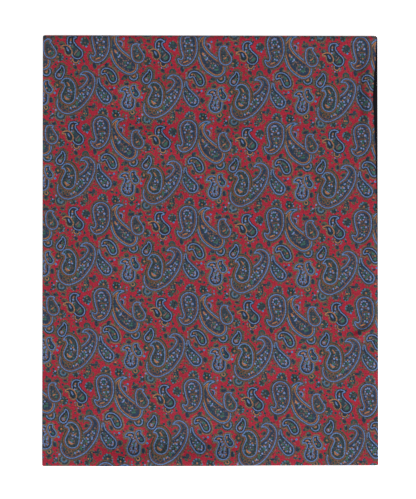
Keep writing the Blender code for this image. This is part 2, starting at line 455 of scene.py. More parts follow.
def swept_outline(discs: Sequence[Disc], inset: float, tolerance: float) -> np.ndarray:
    """Outline of a tapering shape: all that its discs cover.

    Args:
        discs: x, y and radius of each one, the bulb first.
        inset: how far inside the shape's edge the outline runs.
        tolerance: how coarse the outline may be.

    Returns:
        The outline's points, or none where the shape is too thin.
    """
    run = spline(discs, SPLINE_STEPS)
    run[:, 2] -= inset
    thin = np.flatnonzero(run[:, 2] < THIN_END)
    if len(thin):
        run = run[: thin[0]]
    if not len(run):
        return np.empty((0, 2))
    if len(run) == 1:
        return round_outline(run[0], tolerance)
    step = np.gradient(run, axis=0)
    size = np.maximum(np.hypot(step[:, 0], step[:, 1]), 1e-9)
    along = step[:, :2] / size[:, None]
    lean = np.clip(step[:, 2] / size, -STEEPEST, STEEPEST)[:, None]
    across = np.column_stack([-along[:, 1], along[:, 0]])
    swing = np.sqrt(1 - lean**2)
    left = run[:, :2] + run[:, 2:] * (across * swing - along * lean)
    right = run[:, :2] + run[:, 2:] * (-across * swing - along * lean)

    def cap(disc: np.ndarray, start: np.ndarray, end: np.ndarray) -> np.ndarray:
        """Points round an end disc, between two places on it."""
        first = math.atan2(*(start - disc[:2])[::-1])
        last = math.atan2(*(end - disc[:2])[::-1])
        return arc(disc, first, -((first - last) % (2 * math.pi)))[1:-1]

    tip = cap(run[-1], left[-1], right[-1])
    bulb = cap(run[0], right[0], left[0])
    ring = np.vstack([left, tip, right[::-1], bulb])
    gaps = np.linalg.norm(ring[:, None] - run[None, :, :2], axis=2) - run[None, :, 2]
    ring = ring[gaps.min(axis=1) > -LEAST_RADIUS]
    return thinned(ring, tolerance)


@dataclass(frozen=True)
class Band:
    """A ring of ink in a motif: how far inside the blue line's outer edge it
    begins, in millimetres, and its ink."""

    inset: float
    ink: Ink


@dataclass(frozen=True)
class Beads:
    """A dashed line beside a motif: how far inside its edge, the inks in turn,
    from which share of the outline to which, and the step and size."""

    inset: float
    inks: tuple[Ink, ...]
    start: float = 0.0
    stop: float = 1.0
    pitch: float = 2.0
    size: float = 0.62


@dataclass(frozen=True)
class Motif:
    """A motif of the print: discs along its spine, bulb first, and its rings."""

    name: str
    bands: tuple[Band, ...]
    discs: tuple[Disc, ...]
    beads: Beads | None = None


@dataclass(frozen=True)
class Marks:
    """Small marks of one ink: a stroke through the discs, or a dot on each."""

    ink: Ink
    discs: tuple[Disc, ...]


def bands(*rows: tuple[float, Ink]) -> tuple[Band, ...]:
    """Rings of ink from the outside in, by inset and ink."""
    return tuple(Band(*row) for row in rows)


def in_threes(numbers: Sequence[float]) -> tuple[Disc, ...]:
    """Discs from a run of numbers: x, y and radius of each in turn."""
    return tuple(zip(numbers[::3], numbers[1::3], numbers[2::3]))


def motif(name: str, rings: tuple[Band, ...], *numbers: float, beads: Beads | None = None) -> Motif:
    """A motif, with its discs as a run of numbers in threes."""
    return Motif(name, rings, in_threes(numbers), beads)


def marks(ink: Ink, *numbers: float) -> Marks:
    """Marks, with their discs as a run of numbers in threes."""
    return Marks(ink, in_threes(numbers))


# Rings of ink of each kind of motif
CRESCENT = bands(
    (-1.9, OLIVE), (-1.3, UMBER), (-0.25, SOOT), (0.1, BLUE), (1.15, INDIGO), (1.5, RUST), (2.4, NAVY),
    (4.2, SLATE)
)
COMMA = bands(
    (-3.2, OLIVE), (-2.3, SOOT), (-1.7, RUST), (-0.2, SOOT), (0.1, BLUE), (1.15, BOTTLE), (2.9, SLATE)
)
EYE_RIM = bands((-2.8, OLIVE), (-1.8, UMBER))
EYE = bands((-0.7, SOOT), (0.05, BLUE), (1.1, SOOT))
PEAR = bands((-1.5, UMBER), (-0.2, SOOT), (0.1, BLUE), (1.15, INDIGO), (2.6, SLATE))
BOTEH = bands((-2.6, TAN), (-1.6, UMBER), (-0.8, SOOT), (0.05, BLUE), (1.15, SOOT), (2.4, SLATE))
VASE = bands((-1.8, OLIVE), (-1.1, TAN), (-0.2, SOOT), (0.1, BLUE), (1.15, INDIGO), (2.9, UMBER))
BUD = bands((-1.5, TAN), (-0.2, SOOT), (0.05, BLUE), (1, SOOT), (1.9, NAVY))
TALL = bands(
    (-2.3, OLIVE), (-1.5, UMBER), (-0.6, SOOT), (0.1, BLUE), (1.15, INDIGO), (1.5, RUST), (2.5, NAVY),
    (4.6, SLATE)
)
LEANING = bands(
    (-1.6, UMBER), (-0.2, SOOT), (0.1, BLUE), (1.15, TEAL), (1.8, ORANGE), (2.5, RUST), (3.1, NAVY),
    (5.6, SLATE)
)
SMALL = bands((-1.5, UMBER), (-0.2, SOOT), (0.1, BLUE), (1.15, INDIGO), (1.5, RUST), (2.4, SLATE))
HOOK = bands((-0.9, SOOT), (0, BLUE), (1.05, SOOT), (2.4, SLATE))
CURL = bands((-0.4, OLIVE), (0, ORANGE), (1, INDIGO), (2, SOOT))
DASHES = (TAN, OLIVE)
DARK_DASHES = (SOOT, OLIVE, TAN)

# Painted from first to last, so a later motif covers an earlier one. Places are
# millimetres across and down the print, on a repeat of 87 x 86 mm
UNDER_MOTIFS = (
    motif("half moon", bands((-0.3, OLIVE), (0.4, TAN), (1.1, SLATE), (3, STEEL), (4.3, UMBER),
          (5.2, TEAL)),
          60, 117, 6.3),
    motif("cup", bands((-1.5, OLIVE), (-0.8, SOOT), (0.1, BLUE), (1.2, BOTTLE), (3.2, ORANGE)),
          133.4, 74.3, 4.7),
    motif("fan", bands((0, FERN), (1.8, UMBER)), 85.3, 69.2, 3.7),
    motif("flower below the hook", bands((0, BOTTLE), (0.9, ORANGE), (1.9, INDIGO)), 76.1, 147, 4.2),
    motif("flower on the tall drop", bands((-1, BOTTLE), (1, SLATE), (2.9, ORANGE)), 102.8, 112.4, 3.9),
    motif("flower by the vase", bands((0, BOTTLE), (1.8, SOOT)), 115.8, 113.2, 4.4),
    motif("star flower", bands((0, BOTTLE), (2.6, SLATE)), 85.7, 128.7, 4.4),
    motif("flower by the curl", bands((0, BOTTLE)), 60.2, 144.8, 4.4),
    motif("flower by the comma", bands((0, BOTTLE), (2.5, ORANGE)), 57.3, 87.3, 3.5),
    motif("ring flower", bands((-0.6, FERN), (0.9, ORANGE), (1.9, INDIGO)), 132.2, 110.6, 3.1),
    motif("seed flower", bands((0, BOTTLE)), 72.4, 118, 3.2),
    motif("sprig flower", bands((0, BOTTLE)), 82.8, 118.6, 3),
    motif("edge flower", bands((0, BOTTLE)), 138.6, 118.3, 2.6),
    motif("sprig", bands((0, UMBER), (0.9, INDIGO), (2, SLATE)),
          85.4, 114.6, 3.5, 85.6, 111, 2.9, 86.4, 108.2, 1.9, 88.6, 106.3, 1),
    motif("eye rim", EYE_RIM, 59.2, 77.4, 4.4, 61.2, 74, 3.7, 62.5, 71, 2.5, 62.2, 68.9, 1.8),
)
MOTIFS = (
    motif("pear", PEAR, 105.7, 97.2, 6.3, 101.4, 92, 5.5, 98.9, 86.5, 3.3, 98.3, 82, 2, 98.6, 79, 1.6),
    motif("leaning drop", LEANING, 129.2, 150.3, 8.9, 122, 145.2, 8.7, 116.6, 137.6, 6.5, 113.8, 130,
          4.5, 113.8, 124.5, 3.5, 116.3, 120.2, 2.4, 119.5, 118.3, 1.7, 122.8, 117.9, 0.9),
    motif("hook", HOOK, 77.8, 140.2, 6, 74.9, 135.5, 4.3, 71.9, 130.5, 3.9, 71.9, 127.1, 3.5, 73.4,
          125.2, 2.5, 75.6, 124.7, 1.6, 77.3, 125, 0.9),
    motif("vase", VASE, 128, 102, 7, 129.2, 96.8, 5.8, 128.6, 92.2, 4.3, 127, 89.2, 4, 124.2, 88.1, 3,
          121.6, 89, 1.9, 120.2, 90.2, 1),
    motif("boteh", BOTEH, 112.9, 78.3, 4.3, 111.5, 74.7, 4.5, 108.8, 71.3, 3.8, 105.2, 70.5, 3.1, 102.9,
          72.2, 2, 102.3, 73.7, 1.1),
    motif("crescent", CRESCENT, 66.6, 105.4, 10.6, 74.3, 102.3, 9.6, 81.3, 96.8, 8, 87, 90.6, 6.3, 90,
          84.9, 5.2, 91.1, 79.5, 4.2, 89.3, 75.9, 3.6, 86.2, 74, 2.8, 83, 74.1, 1.8, 80.5, 75.5, 0.9,
          beads=Beads(-2.6, DARK_DASHES, 0.02, 0.4, 2.3, 0.7)),
    motif("comma", COMMA, 67.8, 98.3, 7.4, 69.6, 92, 6.3, 70.1, 87.7, 5.3, 68.1, 84.2, 4.8, 65.3, 82.6,
          2.9, 62.7, 83.8, 1.6, 61.3, 84.5, 0.9),
    motif("eye", EYE, 59.2, 77.4, 4.4, 61.2, 74, 3.9, 62.5, 71, 2.6, 62.2, 68.9, 1.8, 61.6, 68, 1),
    motif("tall drop", TALL, 101.3, 124.8, 9, 101.9, 131.5, 8.5, 101.9, 137.5, 6.7, 99.9, 142.3, 5.4,
          96.5, 145, 4.1, 93.3, 144.3, 2.7, 91.2, 142.1, 1.4),
    motif("small drop", SMALL, 138, 140.6, 6.7, 136, 135.2, 5.2, 135.5, 131.2, 3.6, 137.5, 129.3, 1.9,
          139.3, 128.9, 1),
    motif("curl", CURL, 69.3, 139.3, 4.1, 68.2, 136, 3.4, 65.6, 134.4, 2.1, 62.6, 134.9,
          1.3, beads=Beads(0.55, (OLIVE,), 0.55, 0.95, 1.6)),
    motif("bud", BUD, 135.8, 92.2, 3.9, 133.5, 88.6, 3.2, 133.1, 85.8, 2.7, 135, 84.2,
          1.3, beads=Beads(-1, DASHES, 0.1, 0.5, 2)),
)

# Leaves on the crimson: the discs of a green rim, and of the indigo blade over it
LEAVES = (
    ((73.4, 67.6, 0.9, 74.4, 69.2, 1, 76.6, 69.7, 1.3), (74.7, 67, 1, 75.9, 68.2, 1.7)),
    ((96.2, 65.6, 1.2, 96, 67.8, 1.2, 94.6, 69, 1), (94.4, 65.1, 1.6, 94.7, 66.8, 1.8)),
    ((108.8, 63, 1.2, 108.1, 65.2, 1), (106.3, 64.9, 1.7, 107.2, 63.5, 1.4)),
    ((104.9, 80.2, 1, 104.7, 82.6, 1, 107.4, 84.4, 1.3), (105.9, 80.9, 1, 106.9, 82.7, 1.6)),
    ((116.3, 94.6, 0.9, 117, 96.9, 1, 115, 99.4, 1.2), (114.3, 95.3, 1.4, 114.8, 97.3, 1.8)),
    ((110.8, 105.6, 0.7, 112.8, 106.1, 0.9, 114.7, 105.4, 0.7), (111.1, 104.8, 0.8, 112.9, 104.9, 0.9)),
    ((124.2, 82.4, 1, 125, 80.7, 1, 127.2, 80.4, 1.2, 128.7, 82, 0.9),
     (125.6, 82.9, 1.2, 127.3, 82.6, 1.4)),
    ((122.8, 76, 1.2, 124.6, 77.7, 1.3, 127.3, 76.4, 0.9), (124.4, 74.9, 1.3, 126.2, 75.3, 1.4)),
    ((59.9, 125.3, 1, 61.8, 126.3, 1, 64, 125.8, 1), (60.9, 124.6, 1, 62.6, 124.8, 1)),
    ((60.3, 132.2, 0.9, 61.4, 130.6, 1, 63.2, 129.9, 1.2, 65.2, 131.2, 1.3),
     (61.8, 132.2, 0.9, 63.2, 132.1, 0.9)),
    ((57.2, 134, 1.3, 58.7, 135.9, 0.9, 58.4, 137.6, 0.7), (56.4, 135.6, 1, 57.5, 136.5, 1.2)),
    ((80.2, 82.9, 1.2, 82.8, 80.7, 1.3), (81.6, 83, 1, 82.9, 82, 1.2)),
    ((77.8, 72, 0.9, 75.3, 73.4, 1, 75.2, 76, 1, 76.8, 77.7, 1.2), (77.2, 73.7, 1.2, 76.9, 75.3, 1.4)),
    ((128.6, 127.5, 1.2, 128.9, 125.2, 0.9, 131.4, 123.9, 0.9, 134.4, 124.9, 1),
     (130.5, 126.9, 1.6, 133.3, 126.2, 1.3)),
    ((141.3, 124.3, 1.2, 142.6, 127.2, 1.2), (139.2, 126, 1, 140.8, 125.8, 1.6)),
    ((129.4, 115.3, 1, 131.4, 117.4, 1.2, 133.7, 116.2, 1.3), (131.2, 115.4, 1.4, 132.3, 114.9, 1.3)),
    ((138.9, 104.6, 1.2, 139.2, 102.2, 1, 138, 100.4, 1), (137.2, 101.6, 1.4, 137.4, 104, 1.6)),
)
STROKES = (  # each through all its discs
    # in the comma
    marks(ORANGE, 67.3, 84.2, 0.55, 68.5, 85.7, 0.75, 69.4, 87.2, 0.6),
    marks(ORANGE, 64.7, 98.4, 0.7, 65.4, 100.1, 0.9, 67, 100.9, 1, 68.8, 100.6, 0.6),
    marks(BLUE, 66.3, 98.9, 0.5, 67.6, 99.8, 0.6), marks(GREEN, 67, 97.3, 0.8, 68.7, 98.2, 0.8),
    # in the crescent
    marks(GREEN, 81.2, 96.2, 0.7, 82.2, 97.4, 0.8, 83, 98.9, 0.6),
    marks(GREEN, 76.2, 102.6, 0.7, 76.9, 104.4, 0.9, 76.9, 106.2, 0.7),
    marks(LILAC, 87.6, 92.8, 0.8, 87.3, 95, 0.7), marks(LILAC, 83.3, 91.4, 0.7, 84.6, 90.6, 0.7),
    # in the pear
    marks(GREEN, 104.4, 94.4, 0.8, 106.4, 94.1, 0.7), marks(GREEN, 103.2, 95.7, 0.7, 103, 97.9, 0.8),
    marks(LILAC, 107.7, 95.6, 0.7, 107.9, 97, 0.7), marks(BLUE, 97.3, 80.7, 0.5, 97.4, 83, 0.5),
    # in the tall drop
    marks(RUST, 98.3, 131.9, 0.5, 101.5, 131, 0.5, 105.2, 131.6, 0.5),
    marks(ORANGE, 96.3, 145.1, 0.7, 98.6, 144.2, 0.8, 100.8, 143.4, 0.4),
    marks(RUST, 98.6, 133, 0.4, 99, 135.2, 0.4), marks(RUST, 106, 133.4, 0.4, 105.3, 136.4, 0.4),
    # in the leaning drop
    marks(ORANGE, 115.1, 135.1, 0.6, 116, 136.8, 1.1, 116.8, 138.1, 0.5),
    marks(LILAC, 120, 139.8, 0.6, 119.7, 141.2, 0.8, 118.2, 142.1, 0.6),
    marks(GREEN, 127.4, 151.7, 0.8, 130.2, 151.5, 0.9),
    marks(ROSE, 121, 142.2, 0.6, 122.6, 143.4, 0.5), marks(ROSE, 122.7, 147.4, 0.5, 122.7, 149.6, 0.5),
    # in the vase: its heart and the rays round it
    marks(ORANGE, 123.3, 88.5, 0.6, 124.6, 88, 0.9, 126, 87.7, 0.5),
    marks(BLUE, 127.6, 94.6, 0.9, 129.3, 93, 0.9), marks(BLUE, 126.5, 97, 0.6, 126.9, 99.6, 0.9),
    marks(BLUE, 130.7, 95.6, 0.6, 129.7, 98.9, 0.9), marks(BLUE, 125.2, 100.4, 0.6, 126.4, 101.3, 0.7),
    marks(BLUE, 124.8, 103.6, 0.6, 126.5, 102.7, 0.7),
    marks(BLUE, 127.3, 105.4, 0.6, 127.6, 103.3, 0.7),
    marks(BLUE, 130.3, 104.6, 0.6, 129.2, 102.9, 0.7),
    marks(BLUE, 130.9, 101.6, 0.6, 129.6, 100.9, 0.8),
    marks(GREEN, 128.3, 95.9, 0.5, 128.4, 99.4, 0.6), marks(SOOT, 127.9, 99.9, 0.8, 127.6, 101.6, 0.9),
    # in the buds, hook, curl and boteh
    marks(ORANGE, 132.6, 85.7, 0.5, 132.5, 87.4, 0.7), marks(ORANGE, 72.2, 126.8, 0.6, 71.9, 128, 0.6),
    marks(ROSE, 78.6, 136.9, 0.4, 77, 138.9, 0.6, 75.4, 140.5, 0.4),
    marks(GREEN, 79.6, 139, 0.5, 79, 141, 1.3, 77.3, 142.1, 0.7),
    marks(BLUE, 67.7, 135.3, 0.6, 68.5, 136.7, 0.9, 69.3, 138.2, 0.7),
    marks(GREEN, 110, 72.3, 0.8, 111.6, 73.6, 0.9),
    marks(GREEN, 111.3, 78.5, 0.5, 112.8, 78.7, 1.2, 113.7, 77.2, 0.6),
    marks(GREEN, 62.2, 71.2, 0.4, 62, 73, 0.5), marks(GREEN, 60.3, 74.9, 0.5, 61.9, 75.7, 0.9),
    marks(ORANGE, 136.5, 140.5, 0.8, 138.6, 139.2, 0.5),
    marks(GREEN, 139.6, 140.4, 0.5, 139.3, 142, 1),
    # the small paisley in the leaning drop's hook
    marks(TAN, 124.7, 127.4, 0.5, 124.5, 130, 0.5, 123.4, 132.3, 0.4),
    marks(INDIGO, 121, 128, 1.2, 121.7, 130, 1),
    marks(BLUE, 119.7, 126, 0.5, 121.7, 126.5, 0.6, 122.9, 128, 0.6, 122.5, 130.7, 0.5),
    *(marks(ink, *numbers) for leaf in LEAVES for ink, numbers in zip((OLIVE, INDIGO), leaf)),
    marks(SLATE, 93.9, 104.9, 1.8, 93.2, 107.2, 1.7), marks(INDIGO, 89.2, 107.3, 1.2, 90.6, 107, 1.3),
    marks(OLIVE, 112.9, 63.4, 0.7, 113.3, 65.2, 1.2, 114.2, 66.8, 0.7),
    marks(UMBER, 100.4, 68.2, 0.5, 100.5, 72, 0.5, 100, 76.2, 0.6),
    marks(ORANGE, 57.8, 145.2, 0.5, 59.3, 145, 0.5),
)
DOTS = (  # one on each disc
    marks(LILAC,
        88, 87.6, 0.9, 89.7, 88.8, 0.9, 83.3, 95, 1, 80.2, 95, 0.8, 84, 98, 1, 77, 99.4, 1, 80, 101.7,
        1, 78.2, 97.2, 0.7, 74.1, 107.6, 0.9, 70.7, 109.6, 0.9, 78.4, 103.4, 0.6, 69, 89.9, 0.6, 68.5,
        92.8, 1, 71.4, 93.5, 0.9, 68.7, 96, 0.6, 102.3, 90.3, 0.8, 103.8, 92.7, 0.8, 99.5, 92.8, 0.6,
        101.3, 95.2, 0.9, 104.7, 98.8, 0.8, 107.3, 99.3, 1, 98, 87.8, 0.6, 98, 128.8, 1, 104.4, 127.6,
        1.2, 100.3, 133.6, 0.8, 104.5, 133, 1, 100.5, 140.3, 0.9, 102.8, 141.1, 1, 98.2, 121.6, 0.8,
        99.9, 120.6, 0.9, 101.7, 120.8, 0.8, 103.2, 123.2, 0.8, 102, 125.5, 0.7, 99.2, 126, 0.8, 97.5,
        124, 0.8, 126.7, 88.9, 0.9, 127.7, 91.2, 0.8, 71.2, 132.9, 0.9, 71.8, 129.7, 0.9, 59.4, 77.3,
        0.9, 126.1, 149.9, 0.7, 127.8, 147.4, 0.9, 117.5, 137.8, 0.8, 55.4, 112.4, 1, 74.3, 151.2, 0.7,
        118.4, 111.7, 0.6, 119.7, 114, 0.7, 52, 116.4, 0.9),
    marks(SKY,
        54.6, 95.4, 1.2, 114.2, 87.1, 1.1, 124.2, 124, 1, 87.1, 133, 1),
    marks(STEEL,
        56, 91.3, 0.9, 126.2, 116.7, 1, 98.7, 69.6, 0.8, 98.8, 74.8, 0.9, 102, 108.7, 1.1, 99.7, 110.2,
        0.9, 98.3, 112.4, 0.9, 107.6, 113.3, 0.8, 107.4, 115.3, 0.8, 83.3, 126.3, 0.9, 82.2, 129.1, 0.9,
        88.8, 130.3, 0.7, 112.8, 112.3, 0.8, 75.2, 116.9, 0.9, 70.2, 118.5, 0.8, 80.6, 118.4, 0.7, 82.2,
        120.7, 0.8, 51.7, 120.6, 0.9, 50.2, 118.2, 0.6, 63.6, 144.7, 0.8, 62.5, 147, 0.9, 59, 149.3,
        0.8, 71.4, 145.9, 0.8, 79.2, 150.3, 0.8, 80.2, 148.2, 0.7, 126.1, 114, 0.8, 109.6, 87.5, 0.8),
    marks(TEAL,
        54.8, 100, 1.1, 71.6, 75.8, 1.3, 56.2, 66.8, 1.2, 55.5, 71.2, 1.1, 84.4, 148, 1.3, 67.3, 146.2,
        1.3, 59.3, 129.2, 1.2, 77, 118.3, 1.1, 79, 123.3, 1, 136.1, 121.3, 1.2, 130.1, 122.7, 1.2, 137,
        114.5, 1.2, 116.7, 106, 1.3, 122.1, 77.8, 1.2, 120.3, 108.1, 1.1, 50.7, 114.2, 1, 96.4, 100.2,
        0.9, 113.7, 109.7, 1.2, 113.5, 115.3, 1.1, 117.9, 113.5, 0.9, 89, 127.8, 0.9, 74.9, 137.4, 1.1,
        69.9, 139.7, 1, 100.3, 123.9, 1.5, 63, 109.4, 1, 67, 110.4, 1, 118.6, 85.2, 1, 110.6, 89.3, 1.1),
    marks(GREEN,
        89.8, 86.3, 0.9, 86.5, 91.3, 0.6, 79.6, 99, 0.7, 72, 106.5, 0.7, 61.5, 106.5, 0.6, 70.2, 88.5,
        0.8, 101.2, 92.4, 0.9, 99.2, 88.9, 0.8, 105.4, 96.5, 0.5, 102, 133, 1, 102.2, 135.5, 0.9, 102.2,
        138.8, 0.8, 100.2, 142.1, 0.6, 118, 139.4, 0.9, 125, 147.1, 1.1, 130, 149.3, 0.8, 132.8, 88.9,
        0.8, 135.8, 92.3, 1.1, 73, 134.2, 0.9, 136.6, 138.2, 0.6, 85.4, 116.2, 1.1, 85.3, 112.7, 0.8,
        100.3, 123.9, 0.8, 133.8, 116.3, 0.6, 54.1, 89, 0.7, 105, 108.6, 1, 85.9, 124.7, 0.9, 115.8,
        111.2, 0.9, 84.8, 119.9, 0.8, 56.5, 148.6, 0.8, 76.7, 151.3, 0.7),
    marks(OLIVE,
        67.3, 68.4, 1.2, 53, 66.4, 1, 71.9, 66.4, 1, 71.4, 70.2, 1.2, 78.8, 71.4, 1, 79.3, 78.9, 1,
        90.4, 64, 1.2, 94.4, 100.8, 1.2, 98.5, 102.2, 1, 96.3, 106.2, 0.9, 93, 110, 1.3, 103.3, 105.2,
        1, 106, 105.3, 1.2, 117.7, 83.4, 1, 121.3, 84, 1, 117.6, 87.6, 0.9, 118.9, 101.2, 1, 119.5,
        97.6, 0.9, 117.8, 69.8, 1.2, 114.7, 103.2, 1, 123.4, 112.9, 1.2, 119.6, 109.7, 0.9, 136.4,
        110.4, 1, 125.3, 119.8, 0.9, 119.6, 124.8, 0.9, 128.8, 131.1, 1, 128.9, 134.7, 1.2, 69, 123.3,
        1.2, 67.6, 125.4, 1, 77, 121.7, 1.2, 64.2, 123.3, 1.2, 54, 123.9, 1, 55.6, 130.6, 1, 53, 108.4,
        1, 53.8, 110.4, 0.9, 89.9, 115, 0.9, 89.4, 117.6, 0.9, 80.6, 115.3, 0.9, 83.6, 145.8, 1.2, 65,
        148, 1, 85.3, 138.7, 1.2, 84, 136.4, 1, 90.3, 138, 1, 62.6, 65.4, 1, 109, 71.5, 0.9, 106.3,
        70.4, 1.2, 58.2, 146.7, 1.3, 91.8, 110, 0.8),
    marks(OLIVE,
        54.2, 64.2, 1.3, 52.2, 72, 0.9, 51.2, 79, 1, 51.2, 83.8, 0.8, 91.2, 108.9, 1, 96, 108.4, 1.3,
        95.7, 97.6, 0.8, 97, 101, 0.8, 102.9, 78.3, 0.9, 113.5, 93.4, 0.8, 118.3, 99.3, 0.8, 113.4,
        101.1, 1, 118.9, 92.8, 0.7, 138.6, 72, 1, 138.3, 83.5, 0.8, 90.6, 116.3, 0.9, 87.6, 118.7, 0.9,
        67.9, 118.9, 0.7, 76.7, 115.8, 0.7, 53.4, 149, 1.2, 70.5, 147.5, 0.8, 80.9, 149.1, 0.8, 66.5,
        149.4, 0.8, 61.8, 136.7, 0.8, 51, 124.8, 0.9, 122.6, 114.4, 1, 129.2, 112.2, 0.9, 139.4, 111.6,
        0.8, 122.3, 124.8, 1, 124, 126.3, 0.8, 126.4, 118.3, 0.7, 137.5, 124.8, 1, 129.8, 129.2, 0.8,
        124.9, 132.8, 0.7, 128, 136.2, 0.6, 85, 150.4, 0.7, 76.3, 66.4, 0.7),
    marks(INDIGO,
        112, 88.7, 1.2, 54, 64, 0.7, 96, 108.3, 0.6, 87, 128.6, 0.7, 84.6, 128.4, 0.7, 85.9, 130.2, 0.7,
        58.6, 143, 0.8, 61, 146.6, 0.8, 103.9, 111, 0.8, 100.9, 112.9, 0.8, 105.2, 113.4, 0.8, 116.9,
        115.9, 0.8, 114.3, 113.9, 0.7, 73.2, 118.6, 0.8, 83, 117.4, 0.6, 138.9, 117.9, 0.7, 132.6, 74,
        0.6, 58.6, 85.6, 0.7, 56.2, 88.6, 0.7),
    marks(ORANGE,
        57.4, 87.3, 0.7, 70.6, 91.7, 0.9, 82, 93.8, 0.8, 73, 108.7, 0.9, 75.6, 108.2, 0.7, 79, 93.8,
        0.5, 81.6, 102.6, 0.5, 103.3, 99.1, 0.6, 101.3, 96.9, 0.6, 108.2, 98.1, 0.6, 102.7, 137.4, 0.8,
        104.6, 70.9, 0.9, 112.8, 75.3, 0.9, 84, 114.2, 0.9, 86.3, 114, 0.6, 115.4, 114.3, 0.9, 112.6,
        103.2, 0.9, 87.3, 107.9, 0.7, 133.4, 91, 0.9, 126.2, 90.9, 0.6, 99.2, 92.4, 0.5, 126, 96, 0.5,
        131.2, 97.5, 0.5, 124.2, 101.8, 0.6, 131.4, 103.2, 0.6),
    marks(RUST,
        60.4, 103.4, 0.6, 61.4, 105, 0.6, 64.2, 107, 0.6, 69.6, 107.3, 0.6, 73.4, 104.8, 0.6, 75, 100.9,
        0.6, 77.6, 101.4, 0.6, 81.9, 99.3, 0.6, 84.9, 93.2, 0.6, 88.6, 86.2, 0.6, 91.9, 81.6, 0.6, 92,
        84.4, 0.6, 68.2, 87.3, 0.6, 67.4, 90.8, 0.6, 66.4, 94.3, 0.6, 70.6, 95.9, 0.6, 100.9, 90.4, 0.6,
        99.9, 95.1, 0.6, 106.6, 98.3, 0.6, 108.4, 94.6, 0.6, 96.9, 121.6, 0.5, 103.6, 128.9, 0.6, 99,
        129.9, 0.6, 98.9, 138.9, 0.6, 104.4, 139.2, 0.6, 118.4, 136.4, 0.6, 120.9, 138.4, 0.6, 123.9,
        142.6, 0.6, 128.6, 143.9, 0.6, 130.9, 146.9, 0.6, 126.6, 98.4, 0.5, 130.6, 99.6, 0.5, 123.9,
        98.9, 0.5, 129, 106.2, 0.5, 137.9, 142.9, 0.6, 138.9, 137.6, 0.6, 74.9, 130.9, 0.5, 76.9, 141.9,
        0.5, 113.9, 79.9, 0.5, 110.4, 75, 0.5),
    marks(ROSE,
        86.7, 89.3, 0.8, 88.5, 90.9, 0.7, 86.3, 92.2, 0.6, 82.3, 100.3, 0.8, 90.6, 83.8, 0.9, 85.5, 97,
        0.6, 67, 95.9, 0.5, 70, 98, 0.7, 107.6, 72.4, 0.8, 110.3, 76.4, 0.6, 60.9, 73.7, 0.6, 62.7,
        74.1, 0.6, 106.2, 92.6, 0.5, 104.8, 96.1, 0.5, 123.6, 145.3, 0.9, 126.1, 145.3, 0.9, 124.8,
        150.3, 1, 73.3, 132.5, 0.7, 100.4, 135.1, 0.5, 104.9, 136.6, 0.5, 100.3, 137.1, 0.5, 71.1, 111,
        0.6, 67, 107.8, 0.6, 136, 137.4, 0.6, 84.8, 111.2, 0.6, 98.6, 72.2, 0.8, 107.2, 110.7, 1, 84.1,
        132.2, 0.9, 72.2, 120.6, 0.8, 62.5, 142.5, 0.8, 71.8, 148.8, 0.8, 112.4, 91.1, 0.7),
)

# Loops of rust round a dot, painted before the dots
LOOPS = (
    motif("eye ring", bands((0, ROSE), (1, SLATE)), 59.4, 77.3, 2.1),
    motif("left loop", bands((0, RUST), (0.9, SLATE)), 63, 109.4, 2),
    motif("right loop", bands((0, RUST), (0.9, SLATE)), 67, 110.4, 2.1),
    motif("tall drop's flower", bands((0, SLATE), (0.3, RUST), (1.2, SLATE)), 100.3, 124, 4.1),
)


@dataclass(frozen=True)
class Patch:
    """One area of ink in the repeat, over all before it."""

    ink: Ink
    outline: np.ndarray


def ring_area(ring: np.ndarray) -> float:
    """Area of a closed outline, below zero where it runs clockwise."""
    ahead = np.roll(ring, -1, axis=0)
    return float((ring[:, 0] * ahead[:, 1] - ring[:, 1] * ahead[:, 0]).sum()) / 2


def anticlockwise(ring: np.ndarray) -> np.ndarray:
    """A closed outline, turned so that its inside is on the left."""
    return ring if ring_area(ring) > 0 else ring[::-1]


